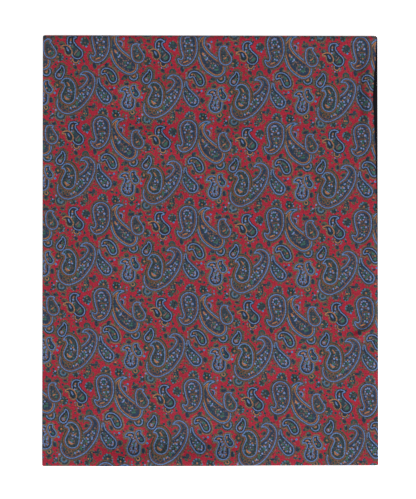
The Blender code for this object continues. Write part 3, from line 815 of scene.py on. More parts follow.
@dataclass(frozen=True)
class PaisleyPrint:
    """The block print: its repeat, and how it lies on the cloth.

    The weft is bowed and the cloth skewed, so the rows and columns drift from
    a square grid. The drift is a smooth sum over the scarf, in millimetres.
    """

    repeat_x: float = 86.83
    repeat_y: float = 85.83
    corner_x: float = -209.97  # cloth X and Y of the chart's corner
    corner_y: float = 250.21
    chart_x: float = 50.0  # where the charted motifs begin, in the chart
    chart_y: float = 62.0
    reach_x: float = 165.0  # half the cloth, over which the drift's sums run
    reach_y: float = 215.0
    start_x: float = -117.1  # where the drift is none
    start_y: float = 145.5
    rounds: int = 4  # in which a place's drift is found
    dash_line: float = 0.02  # how coarse the line under the dashes may be
    dash_ahead: float = 0.3  # how far ahead it is looked at to turn a dash
    dash_share: tuple[float, ...] = (1.15, 0.85, 1.15, 0.85)  # corners of a dash
    drift_ends: tuple[float, float, float, float] = (-1.02, 1.04, -1.02, 1.02)
    drift_x: tuple[float, ...] = (
        0.33, 3.27, 0.89, 1.15, 7.74, -0.56, 0.45, 1.65, 0.48, 0.48, -3.64, -2.94,
    )
    drift_y: tuple[float, ...] = (
        4.23, 0.64, -3.38, 1.31, 0.94, 2.21, -0.75, -0.09, 0.81, 1.21, -0.15, 0.26,
    )

    def patches(self, tolerance: float) -> list[Patch]:
        """The repeat's areas of ink, in the order they are painted.

        Args:
            tolerance: how coarse their outlines may be, in millimetres.

        Returns:
            The patches, in chart millimetres.
        """
        made: list[Patch] = []

        def paint(ink: Ink, discs: Sequence[Disc], inset: float = 0.0) -> None:
            """Adds what the discs cover, if any of it is left inside the inset."""
            outline = swept_outline(discs, inset, tolerance)
            if len(outline) > 2:
                made.append(Patch(ink, outline))

        for shape in UNDER_MOTIFS + MOTIFS + LOOPS:
            for band in shape.bands:
                paint(band.ink, shape.discs, band.inset)
            if shape.beads:
                made += self.dashes(shape.discs, shape.beads)
        for mark in STROKES:
            paint(mark.ink, mark.discs)
        for group in DOTS:
            for disc in group.discs:
                paint(group.ink, (disc,))
        return made

    def dashes(self, discs: Sequence[Disc], beads: Beads) -> list[Patch]:
        """Dashes along a motif's outline.

        Args:
            discs: the motif's discs.
            beads: where the dashes run and their inks.

        Returns:
            A patch for each dash.
        """
        line = swept_outline(discs, beads.inset, self.dash_line)
        ring = np.vstack([line, line[:1]])
        steps = np.linalg.norm(np.diff(ring, axis=0), axis=1)
        reached = np.concatenate([[0.0], np.cumsum(steps)])
        count = int((beads.stop - beads.start) * reached[-1] / beads.pitch)
        made = []
        for i in range(count):
            place = beads.start * reached[-1] + i * beads.pitch
            x, y = (np.interp(place, reached, ring[:, axis]) for axis in (0, 1))
            ahead = [np.interp(place + self.dash_ahead, reached, ring[:, axis]) for axis in (0, 1)]
            turned = math.atan2(ahead[1] - y, ahead[0] - x)
            corners = turned + np.array([0, 0.5, 1, 1.5]) * math.pi
            size = beads.size * np.array(self.dash_share)
            outline = np.column_stack([x + size * np.cos(corners), y + size * np.sin(corners)])
            made.append(Patch(beads.inks[i % len(beads.inks)], outline))
        return made

    def drift(self, x: np.ndarray, y: np.ndarray) -> tuple[np.ndarray, np.ndarray]:
        """How far the print has drifted at places on the cloth.

        Args:
            x: cloth X, in millimetres.
            y: cloth Y, in millimetres.

        Returns:
            The drift right and down the cloth.
        """
        least_u, most_u, least_v, most_v = self.drift_ends
        u = np.clip(x / self.reach_x, least_u, most_u)
        v = np.clip(-y / self.reach_y, least_v, most_v)
        terms = (u, v, u * u, u * v, v * v, u**3, u * u * v, u * v * v, v**3, u**4, v**4,
                 u * u * v * v)
        right, down = (
            sum(k * term for k, term in zip(sums, terms)) for sums in (self.drift_x, self.drift_y)
        )
        return right, down

    def on_cloth(self, points: np.ndarray) -> np.ndarray:
        """Cloth places of places on the print's square grid.

        Args:
            points: chart places, one a row, in millimetres.

        Returns:
            Cloth X and Y, in millimetres.
        """
        start_x, start_y = self.drift(np.array([self.start_x]), np.array([self.start_y]))
        flat_x = points[:, 0] + self.corner_x - start_x
        flat_y = self.corner_y - points[:, 1] + start_y
        x, y = flat_x.copy(), flat_y.copy()
        for _ in range(self.rounds):
            right, down = self.drift(x, y)
            x, y = flat_x + right, flat_y - down
        return np.column_stack([x, y])

    def areas(
        self, low: Sequence[float], high: Sequence[float], tolerance: float
    ) -> list[tuple[Ink, np.ndarray]]:
        """All areas of ink over a stretch of cloth, in the order painted.

        Args:
            low: least cloth X and Y, in millimetres.
            high: greatest cloth X and Y.
            tolerance: how coarse the outlines may be.

        Returns:
            Ink and outline of each.
        """
        patches = self.patches(tolerance)
        rings = [patch.outline for patch in patches]
        ends = np.cumsum([len(ring) for ring in rings])
        every = np.vstack(rings)
        grid = [
            (column, row)
            for row in range(
                math.floor((self.corner_y - high[1] - self.chart_y) / self.repeat_y) - 1,
                math.ceil((self.corner_y - low[1] - self.chart_y) / self.repeat_y) + 1,
            )
            for column in range(
                math.floor((low[0] - self.corner_x - self.chart_x) / self.repeat_x) - 1,
                math.ceil((high[0] - self.corner_x - self.chart_x) / self.repeat_x) + 1,
            )
        ]
        repeats = [
            np.split(self.on_cloth(every + (c * self.repeat_x, r * self.repeat_y)), ends[:-1])
            for c, r in grid
        ]
        made = []
        for patch, copies in zip(patches, zip(*repeats)):
            for placed in copies:
                if (placed.max(axis=0) > low).all() and (placed.min(axis=0) < high).all():
                    made.append((patch.ink, anticlockwise(placed)))
        return made


PRINT = PaisleyPrint()


# ---------------------------------------------------------------- the surfaces


@dataclass(frozen=True)
class TurnedEdge:
    """Section of an edge turned in at the seam, measured from the seam."""

    groove: float = 0.00042  # from the seam's bottom up to the rounding
    sunk: float = 0.00034  # how far the seam lies in from the edge
    lip: float = 0.20  # where the rounding starts, in radians above the seam

    @property
    def length(self) -> float:
        """Cloth from the seam to the flat face."""
        return self.groove + (math.pi / 2 - self.lip) * STACK.half

    @property
    def spare(self) -> float:
        """Cloth in the turn beyond the flat width that it takes up."""
        return self.length - STACK.half

    def section(self, reach: np.ndarray) -> tuple[np.ndarray, np.ndarray]:
        """How the face lies near its edge.

        Args:
            reach: cloth between the seam and each place.

        Returns:
            How far in from the edge each place is, and how far out from the
            ply's middle.
        """
        half = STACK.half
        start_in, start_out = half * (1 - math.cos(self.lip)), half * math.sin(self.lip)
        share = np.clip(reach / self.groove, -1.0, 1.0)
        turned = self.lip + np.clip((reach - self.groove) / half, 0, math.pi / 2 - self.lip)
        inward = np.where(
            reach < self.groove,
            self.sunk + (start_in - self.sunk) * share,
            half * (1 - np.cos(turned)) + np.maximum(reach - self.length, 0),
        )
        outward = np.where(reach < self.groove, start_out * share, half * np.sin(turned))
        return inward, outward


EDGE = TurnedEdge()


CROWN_HOLD = 1.3  # how far round a fold the loose silk keeps its lift
FOLD_STEPS = 400  # steps round the near fold in which its cloth is measured
CROWN_STEP = 0.0005  # between the lifts for which that is done
CROWN_STEPS = 16
ROLL_START = 0.0012  # inset at which the right seam has rolled fully
SEAM_RAISED = 0.42  # how far the rolled seam has come up, in halves of a ply
SEAM_WIDE = 1.2  # how far in the silk rises with it, in halves of a ply
SLOPE_STEP = 0.00004  # over which a surface's slopes are measured
PUCKER = 0.00010  # height of the silk's pucker along its seams
PUCKER_START, PUCKER_END = 0.002, 0.006  # how far in it begins, and dies away
SWELL = 0.00012  # height of its soft unevenness
SWELL_START = 0.03


@dataclass(frozen=True)
class PlyFace:
    """One face of a run of plies, as a surface over its own flat cloth."""

    side: Side
    start: float  # measures along the face, the first one the lower
    stop: float
    left: float = 0.0  # how far its edges lie inside the stack's outline
    right: float = 0.0
    wander: float = 0.0  # how unevenly they do
    seam_at_start: bool = False  # whether its ends are sewn
    seam_at_stop: bool = False
    top: bool = False  # whether the seam has rolled and the silk lies loose

    @property
    def path(self) -> FoldPath:
        """The line that it follows."""
        return FoldPath(self.side)

    def edges(self, along: np.ndarray) -> tuple[np.ndarray, np.ndarray]:
        """X of the face's two edges.

        Args:
            along: measures along the face.

        Returns:
            X of the left and right edges.
        """
        places = self.path.places(along)
        face_y = places.y + places.out_y * STACK.half * self.side.value
        past = np.clip(np.abs(face_y) - (STACK.length / 2 - STACK.corner), 0, STACK.corner)
        corner = STACK.corner - np.sqrt(STACK.corner**2 - past**2)
        # two waves along Y, the second set off by how far in the ply lies
        wave = np.sin(places.y * 61 + 1.3) + np.sin(places.y * 143 + self.left * 9000)
        drawn = self.wander * (1 + wave / 2)
        left = -STACK.width / 2 + self.left + corner + drawn
        right = STACK.width / 2 - self.right - drawn
        if self.top and self.side is Side.SILK:
            return left, right - np.maximum(RELIEF.inset(places.y), corner)
        return left, right - corner

    def cloth_edges(self, along: np.ndarray) -> tuple[np.ndarray, np.ndarray]:
        """Cloth X of the left and right seams. On the face it is the scarf's own X."""
        left, right = self.edges(self.slid(along, np.zeros_like(along)))
        return left - EDGE.spare, right + EDGE.spare

    def points(self, across: np.ndarray, along: np.ndarray) -> np.ndarray:
        """Places in space of places on the cloth.

        Args:
            across: cloth X.
            along: measures along the face.

        Returns:
            The points, one a row.
        """
        left, right = self.edges(self.slid(along, np.zeros_like(along)))
        in_left, out_left = EDGE.section(across - (left - EDGE.spare))
        in_right, out_right = EDGE.section((right + EDGE.spare) - across)
        x = np.where(across < (left + right) / 2, left + in_left, right - in_right)
        out = np.minimum(out_left, out_right)
        loose_silk = self.top and self.side is Side.SILK
        if loose_silk:
            crown = self.loose(x, np.full_like(x, STACK.near_turn), out)
            along = self.slid(along, crown)
        places = self.path.places(along)
        y = places.y
        for sewn, reach in (
            (self.seam_at_start, along - self.start), (self.seam_at_stop, self.stop - along)
        ):
            if sewn:
                inward, outward = EDGE.section(reach)
                y = y + (inward - reach)
                out = np.minimum(out, outward)
        lift = np.zeros_like(x)
        if loose_silk:
            level_y = np.clip(along, STACK.near_turn, STACK.far_turn)
            lift = self.loose(x, level_y, out) * smooth(CROWN_HOLD * places.out_z)
            out = self.raised(out, right - x, RELIEF.inset(places.y))
            y = y + self.pressed(places)
        out = out * self.side.value
        z = places.z + places.out_z * out + lift
        y = y + places.out_y * out
        return out_of_square(x, y, z)

    def pressed(self, places: Places) -> np.ndarray:
        """How much further out a pressed fold stands than a round one.

        Args:
            places: places on the ply's middle line.

        Returns:
            The difference in Y.
        """
        turned = np.abs(places.out_y)
        far = places.out_y > 0
        radius = np.where(far, self.path.far_radius, self.path.near_radius)
        shape = np.where(far, RELIEF.pressed_far, RELIEF.pressed_near)
        return np.sign(places.out_y) * radius * (turned**shape - turned)

    def slid(self, along: np.ndarray, crown: np.ndarray) -> np.ndarray:
        """Where the cloth comes to lie, as the raised and pressed near fold
        takes up more of it than a round one, so that its print isn't stretched.

        Args:
            along: measures along the cloth.
            crown: how far the silk stands above the fold's crown at each place.

        Returns:
            Measures along the round fold's line.
        """
        if not (self.top and self.side is Side.SILK):
            return along
        radius = self.path.near_radius
        angles = math.pi * smooth(np.linspace(0, 1, FOLD_STEPS))
        y = radius * np.sin(angles).clip(0, 1) ** RELIEF.pressed_near
        used = STACK.near_turn - along
        spare = STACK.near_turn - self.start
        slid = []
        for level in CROWN_STEP * np.arange(CROWN_STEPS + 1):
            z = radius * np.cos(angles) + level * smooth(CROWN_HOLD * np.cos(angles))
            steps = np.hypot(np.diff(y), np.diff(z))
            taken = np.concatenate([[0.0], np.cumsum(steps), [spare]])
            measures = np.concatenate([radius * angles, [spare]])
            taken[-1] = max(spare, taken[-2] + CROWN_STEP)
            slid.append(np.interp(used, taken, measures))
        place = np.clip(crown / CROWN_STEP, 0, CROWN_STEPS - 0.001)
        low = place.astype(int)
        table = np.stack(slid)
        column = np.arange(len(used))
        lower, upper = table[low, column], table[low + 1, column]
        return np.where(used > 0, STACK.near_turn - (lower + (upper - lower) * (place - low)), along)

    def loose(self, x: np.ndarray, y: np.ndarray, out: np.ndarray) -> np.ndarray:
        """Lift of the loose silk, with the small pucker along its seams.

        Args:
            x: places across the scarf.
            y: places along it.
            out: how far out from the ply's middle each place is.

        Returns:
            The lift, none at the seams.
        """
        from_side = STACK.width / 2 - np.abs(x)
        # waves of a few millimetres by the seams, and of a few centimetres inside
        pucker = np.sin(y * 690 + 1.7 * np.sin(y * 97)) * np.sin(y * 213 + 0.6)
        near_seam = smooth(from_side / PUCKER_START) * np.exp(-from_side / PUCKER_END)
        soft = np.sin(x * 41 + 9 * y + 0.7) * np.sin(y * 29 - 7 * x) * smooth(from_side / SWELL_START)
        lift = RELIEF.lift(x, y) + PUCKER * pucker * near_seam + SWELL * soft
        return lift * (out / STACK.half) ** 2

    def raised(self, out: np.ndarray, inside: np.ndarray, inset: np.ndarray) -> np.ndarray:
        """Distances out with the seam raised towards the face it has rolled onto.

        Args:
            out: how far out from the ply's middle each place is.
            inside: how far it is from the seam.
            inset: how far the seam has rolled there.

        Returns:
            The new distances out.
        """
        rise = SEAM_RAISED * STACK.half * smooth(inset / ROLL_START)
        near = smooth(1 - inside / (SEAM_WIDE * STACK.half))
        return out + (rise * (1 - out / STACK.half).clip(0, 1)) * near

    def normals(self, across: np.ndarray, along: np.ndarray) -> np.ndarray:
        """Directions straight out of the face, from its slopes.

        Args:
            across: cloth X.
            along: measures along the face.

        Returns:
            Unit normals, one a row.
        """
        low = np.maximum(along - SLOPE_STEP, self.start)
        high = np.minimum(along + SLOPE_STEP, self.stop)
        over = self.points(across + SLOPE_STEP, along) - self.points(across - SLOPE_STEP, along)
        up = self.points(across, high) - self.points(across, low)
        normal = np.cross(over, up)
        size = np.linalg.norm(normal, axis=1, keepdims=True)
        return normal / np.maximum(size, 1e-15)


def out_of_square(x: np.ndarray, y: np.ndarray, z: np.ndarray) -> np.ndarray:
    """The stack's real outline, a little wider near and longer left.

    Args:
        x: places across a true rectangle.
        y: places along it.
        z: heights.

    Returns:
        The points, one a row.
    """
    wider = STACK.near_wider / (STACK.width / 2)
    longer = STACK.left_longer / (STACK.length / 2)
    return np.column_stack([
        x * (1 - wider * y / STACK.length), y * (1 - longer * x / STACK.width), z,
    ])


# ---------------------------------------------------------------- the finishes


def linear(hex_code: str) -> tuple[float, float, float, float]:
    """Linear colour of an sRGB hex code.

    Args:
        hex_code: six hex digits.

    Returns:
        Red, green, blue and an alpha of 1.
    """
    values = [int(hex_code[i : i + 2], 16) / 255 for i in (0, 2, 4)]
    low = [v / 12.92 if v <= 0.04045 else ((v + 0.055) / 1.055) ** 2.4 for v in values]
    return low[0], low[1], low[2], 1.0


def add_node(
    tree: bpy.types.NodeTree, kind: str, settings: dict[str, object] | None = None,
    links: dict[str | int, object] | None = None,
) -> bpy.types.Node:
    """Adds a shader node.

    Args:
        tree: the material's node tree.
        kind: the node's type, without its ShaderNode prefix.
        settings: properties of the node.
        links: its inputs, each an output socket to link or a value to set.

    Returns:
        The node.
    """
    node = tree.nodes.new("ShaderNode" + kind)
    for name, value in (settings or {}).items():
        setattr(node, name, value)
    for name, value in (links or {}).items():
        if isinstance(value, bpy.types.NodeSocket):
            tree.links.new(value, node.inputs[name])
        else:
            node.inputs[name].default_value = value
    return node


@dataclass(frozen=True)
class Finish:
    """What every finish sets on its shader."""

    name: str
    roughness: float
    specular: float
    sheen: float
    sheen_roughness: float

    def shader(self) -> tuple[bpy.types.Material, bpy.types.NodeTree, bpy.types.Node]:
        """A new material with these settings.

        Returns:
            The material, its node tree and its shader.
        """
        material = bpy.data.materials.new(self.name)
        material.use_nodes = True
        tree = material.node_tree
        shader = tree.nodes["Principled BSDF"]
        shader.inputs["Metallic"].default_value = 0.0
        shader.inputs["IOR"].default_value = 1.5
        shader.inputs["Roughness"].default_value = self.roughness
        shader.inputs["Specular IOR Level"].default_value = self.specular
        shader.inputs["Sheen Weight"].default_value = self.sheen
        shader.inputs["Sheen Roughness"].default_value = self.sheen_roughness
        return material, tree, shader


@dataclass(frozen=True)
class PrintedSilkTwill(Finish):
    """Silk twill, block printed and left matt: the ink sits in the cloth, so it
    is a little uneven, and the fine diagonal rib softens all reflections."""

    name: str = "printed silk twill"
    roughness: float = 0.60
    specular: float = 0.20
    sheen: float = 0.02
    sheen_roughness: float = 0.4
    rib: float = 0.0009  # a real twill's is 0.4 mm, drawn coarser so that it shows
    rib_depth: float = 0.00003
    thread: float = 0.0013  # grain of the ink's take-up, a few threads across
    uneven: float = 0.45  # how much the ink varies from thread to thread
    fade: float = 0.08  # and from one part of the cloth to another
    dot_pitch: float = 0.0021  # the fine dots that fill the motifs
    dot_inks: tuple[Ink, ...] = (ROSE, SOOT, STEEL, GREEN, TAN, SOOT, RUST, OLIVE)

    def material(self) -> bpy.types.Material:
        """Builds the material.

        Returns:
            The material, which takes its ink from the mesh.
        """
        material, tree, shader = self.shader()
        ink = add_node(tree, "Attribute", {"attribute_name": "print_ink"})
        cloth = add_node(tree, "UVMap", {"uv_map": "Cloth"}).outputs["UV"]
        grain = add_node(tree, "TexNoise", links={
            "Vector": cloth, "Scale": 1 / self.thread, "Detail": 2.0, "Roughness": 0.65})
        slub_space = add_node(tree, "Mapping", links={
            "Vector": cloth, "Scale": (90.0, 1300.0, 1.0)}).outputs["Vector"]
        slub = add_node(tree, "TexNoise", links={
            "Vector": slub_space, "Scale": 1.0, "Detail": 1.0})
        patchy = add_node(tree, "TexNoise", links={
            "Vector": cloth, "Scale": 26.0, "Detail": 2.0})
        threads, slubs, fading = (
            add_node(tree, "MapRange", links={
                "Value": noise.outputs["Fac"], "From Min": low, "From Max": 1 - low,
                "To Min": 1 - uneven, "To Max": 1 + uneven})
            for noise, low, uneven in (
                (grain, 0.3, self.uneven), (slub, 0.3, self.uneven / 4), (patchy, 0.35, self.fade / 2))
        )
        both = add_node(tree, "Math", {"operation": "MULTIPLY"}, {
            0: threads.outputs["Result"], 1: slubs.outputs["Result"]})
        all_three = add_node(tree, "Math", {"operation": "MULTIPLY"}, {
            0: both.outputs["Value"], 1: fading.outputs["Result"]})
        colour = add_node(tree, "VectorMath", {"operation": "SCALE"}, {
            "Vector": self.dotted(tree, ink, cloth), "Scale": all_three.outputs["Value"]})
        tree.links.new(colour.outputs["Vector"], shader.inputs["Base Color"])
        rib = add_node(tree, "TexWave", {"wave_type": "BANDS", "bands_direction": "DIAGONAL"}, {
            "Vector": cloth, "Scale": 0.3 / self.rib, "Distortion": 0.8, "Detail": 1.0,
            "Detail Scale": 0.6})
        weave = add_node(tree, "Math", {"operation": "MULTIPLY_ADD"}, {
            0: grain.outputs["Fac"], 1: 0.8, 2: rib.outputs["Fac"]})
        bump = add_node(tree, "Bump", links={
            "Strength": 0.6, "Distance": self.rib_depth, "Height": weave.outputs["Value"]})
        tree.links.new(bump.outputs["Normal"], shader.inputs["Normal"])
        return material

    def dotted(
        self, tree: bpy.types.NodeTree, ink: bpy.types.Node, cloth: bpy.types.NodeSocket
    ) -> bpy.types.NodeSocket:
        """Fine dots of other inks in the filled parts of the print.

        Args:
            tree: the node tree.
            ink: the ink's node, whose alpha is how strongly it is dotted.
            cloth: places on the flat cloth.

        Returns:
            The ink's colour with its dots.
        """
        cells = add_node(tree, "TexVoronoi", links={
            "Vector": cloth, "Scale": 1 / self.dot_pitch, "Randomness": 0.75})
        spot = add_node(tree, "MapRange", links={
            "Value": cells.outputs["Distance"], "From Min": 0.46, "From Max": 0.30})
        share = add_node(tree, "Math", {"operation": "MULTIPLY"}, {
            0: spot.outputs["Result"], 1: ink.outputs["Alpha"]})
        pick = add_node(tree, "SeparateColor", links={"Color": cells.outputs["Color"]})
        inks = add_node(tree, "ValToRGB", links={"Fac": pick.outputs[0]})
        inks.color_ramp.interpolation = "CONSTANT"
        stops = inks.color_ramp.elements
        stops[0].color = linear(self.dot_inks[0].value)
        stops.remove(stops[1])
        for i, dot_ink in enumerate(self.dot_inks[1:], 1):
            stops.new(i / len(self.dot_inks)).color = linear(dot_ink.value)
        mixed = add_node(tree, "Mix", {"data_type": "RGBA"}, {
            0: share.outputs["Value"], 6: ink.outputs["Color"], 7: inks.outputs["Color"]})
        return mixed.outputs[2]


@dataclass(frozen=True)
class BrushedWool(Finish):
    """Fine worsted wool, dyed near black and lightly brushed: a short nap that
    takes the light softly and shows a faint grey bloom on its turned edges."""

    name: str = "brushed black wool"
    roughness: float = 0.9
    specular: float = 0.08
    sheen: float = 0.03
    sheen_roughness: float = 0.6
    dark: str = "0c0c10"  # between the fibres
    light: str = "1c1b21"  # where the nap has worn
    fibre: float = 0.0008  # real ones are far finer, too fine to show
    nap: float = 0.00012

    def material(self) -> bpy.types.Material:
        """Builds the material.

        Returns:
            The material.
        """
        material, tree, shader = self.shader()
        cloth = add_node(tree, "UVMap", {"uv_map": "Cloth"}).outputs["UV"]
        brushed = add_node(tree, "Mapping", links={
            "Vector": cloth, "Scale": (1 / self.fibre, 0.35 / self.fibre, 1.0)})
        fibres = add_node(tree, "TexNoise", links={
            "Vector": brushed.outputs["Vector"], "Scale": 1.0, "Detail": 4.0, "Roughness": 0.7})
        worn = add_node(tree, "TexNoise", links={
            "Vector": cloth, "Scale": 60.0, "Detail": 3.0})
        blend = add_node(tree, "Math", {"operation": "MULTIPLY"}, {
            0: fibres.outputs["Fac"], 1: worn.outputs["Fac"]})
        share = add_node(tree, "MapRange", links={
            "Value": blend.outputs["Value"], "From Min": 0.15, "From Max": 0.4})
        tint = add_node(tree, "Mix", {"data_type": "RGBA"}, {
            0: share.outputs["Result"], 6: linear(self.dark), 7: linear(self.light)})
        tree.links.new(tint.outputs[2], shader.inputs["Base Color"])
        bump = add_node(tree, "Bump", links={
            "Strength": 0.8, "Distance": self.nap, "Height": fibres.outputs["Fac"]})
        tree.links.new(bump.outputs["Normal"], shader.inputs["Normal"])
        return material


@dataclass(frozen=True)
class OpalAcrylic(Finish):
    """The top of a light table: matt opal acrylic, cast, lit evenly from below,
    so that the scarf lies on pure white with hardly a shadow round it."""

    name: str = "opal acrylic"
    roughness: float = 1.0
    specular: float = 0.0
    sheen: float = 0.0
    sheen_roughness: float = 0.5
    colour: str = "f8f8f8"
    speck: str = "efefef"
    glow: float = 0.8

    def material(self) -> bpy.types.Material:
        """Builds the material.

        Returns:
            The material.
        """
        material, tree, shader = self.shader()
        grain = add_node(tree, "TexNoise", links={"Scale": 400.0, "Detail": 2.0})
        tint = add_node(tree, "Mix", {"data_type": "RGBA"}, {
            0: grain.outputs["Fac"], 6: linear(self.colour), 7: linear(self.speck)})
        tree.links.new(tint.outputs[2], shader.inputs["Base Color"])
        shader.inputs["Emission Color"].default_value = (1.0, 1.0, 1.0, 1.0)
        shader.inputs["Emission Strength"].default_value = self.glow
        return material


# ------------------------------------------------------------------ the pieces


NEAREST = 0.00002  # rows of a mesh closer than this are one


def rows_between(
    start: float, stop: float, step: float, close: Sequence[np.ndarray]
) -> np.ndarray:
    """Measures from one end of a sheet to the other, both ends exact.

    Args:
        start: the lower end.
        stop: the upper end.
        step: how far apart they are at most.
        close: more measures, kept where they lie between the ends.

    Returns:
        The measures, rising.
    """
    more = np.concatenate(close)
    more = more[(more > start + NEAREST) & (more < stop - NEAREST)]
    even = np.linspace(start, stop, int((stop - start) / step) + 1)
    rows = np.unique(np.concatenate([even, more]))
    return rows[np.concatenate([[True], np.diff(rows) > NEAREST])]


def add_object(name: str, data: bpy.types.ID) -> bpy.types.Object:
    """Puts a new object in the scene.

    Args:
        name: its name.
        data: its mesh, light or camera.

    Returns:
        The object.
    """
    made = bpy.data.objects.new(name, data)
    bpy.context.scene.collection.objects.link(made)
    return made


@dataclass
class Sheet:
    """A stretch of one face of the strip, which becomes a piece."""

    name: str
    face: PlyFace
    slot: str
    replaced: str  # the solid that it stands for
    rests_on: tuple[str, ...]  # pieces just below it

    @property
    def flat(self) -> tuple[float, float]:
        """Width and length of the cut, with the cloth in the turned edges."""
        return STACK.width + 2 * EDGE.spare, self.face.stop - self.face.start

    def mesh(self, points: np.ndarray, faces: np.ndarray, cloth: np.ndarray) -> bpy.types.Mesh:
        """A smooth mesh that holds its flat cloth as a map, in metres.

        Args:
            points: its points.
            faces: its faces.
            cloth: the cloth place of each point.

        Returns:
            The mesh.
        """
        mesh = bpy.data.meshes.new(self.name)
        mesh.from_pydata(points.tolist(), [], faces.tolist())
        mesh.shade_smooth()
        corners = np.empty(len(mesh.loops), np.int32)
        mesh.loops.foreach_get("vertex_index", corners)
        layer = mesh.uv_layers.new(name="Cloth")
        layer.data.foreach_set("uv", cloth[corners].astype(np.float32).ravel())
        return mesh

    def keep(self, mesh: bpy.types.Mesh, material: bpy.types.Material) -> None:
        """Args:
            mesh: the mesh.
            material: its finish.
        """
        mesh.materials.append(material)
        piece = add_object(self.name, mesh)
        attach(piece, BODY)
        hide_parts(self.replaced)
        LOG.info("%s: %d faces", self.name, len(mesh.polygons))


# How strongly each fill is dotted with other inks
DOTTED = {
    SLATE: 0.85, NAVY: 0.7, BOTTLE: 0.85, INDIGO: 0.4, UMBER: 0.8, OLIVE: 0.8, TAN: 0.5, RUST: 0.4,
}


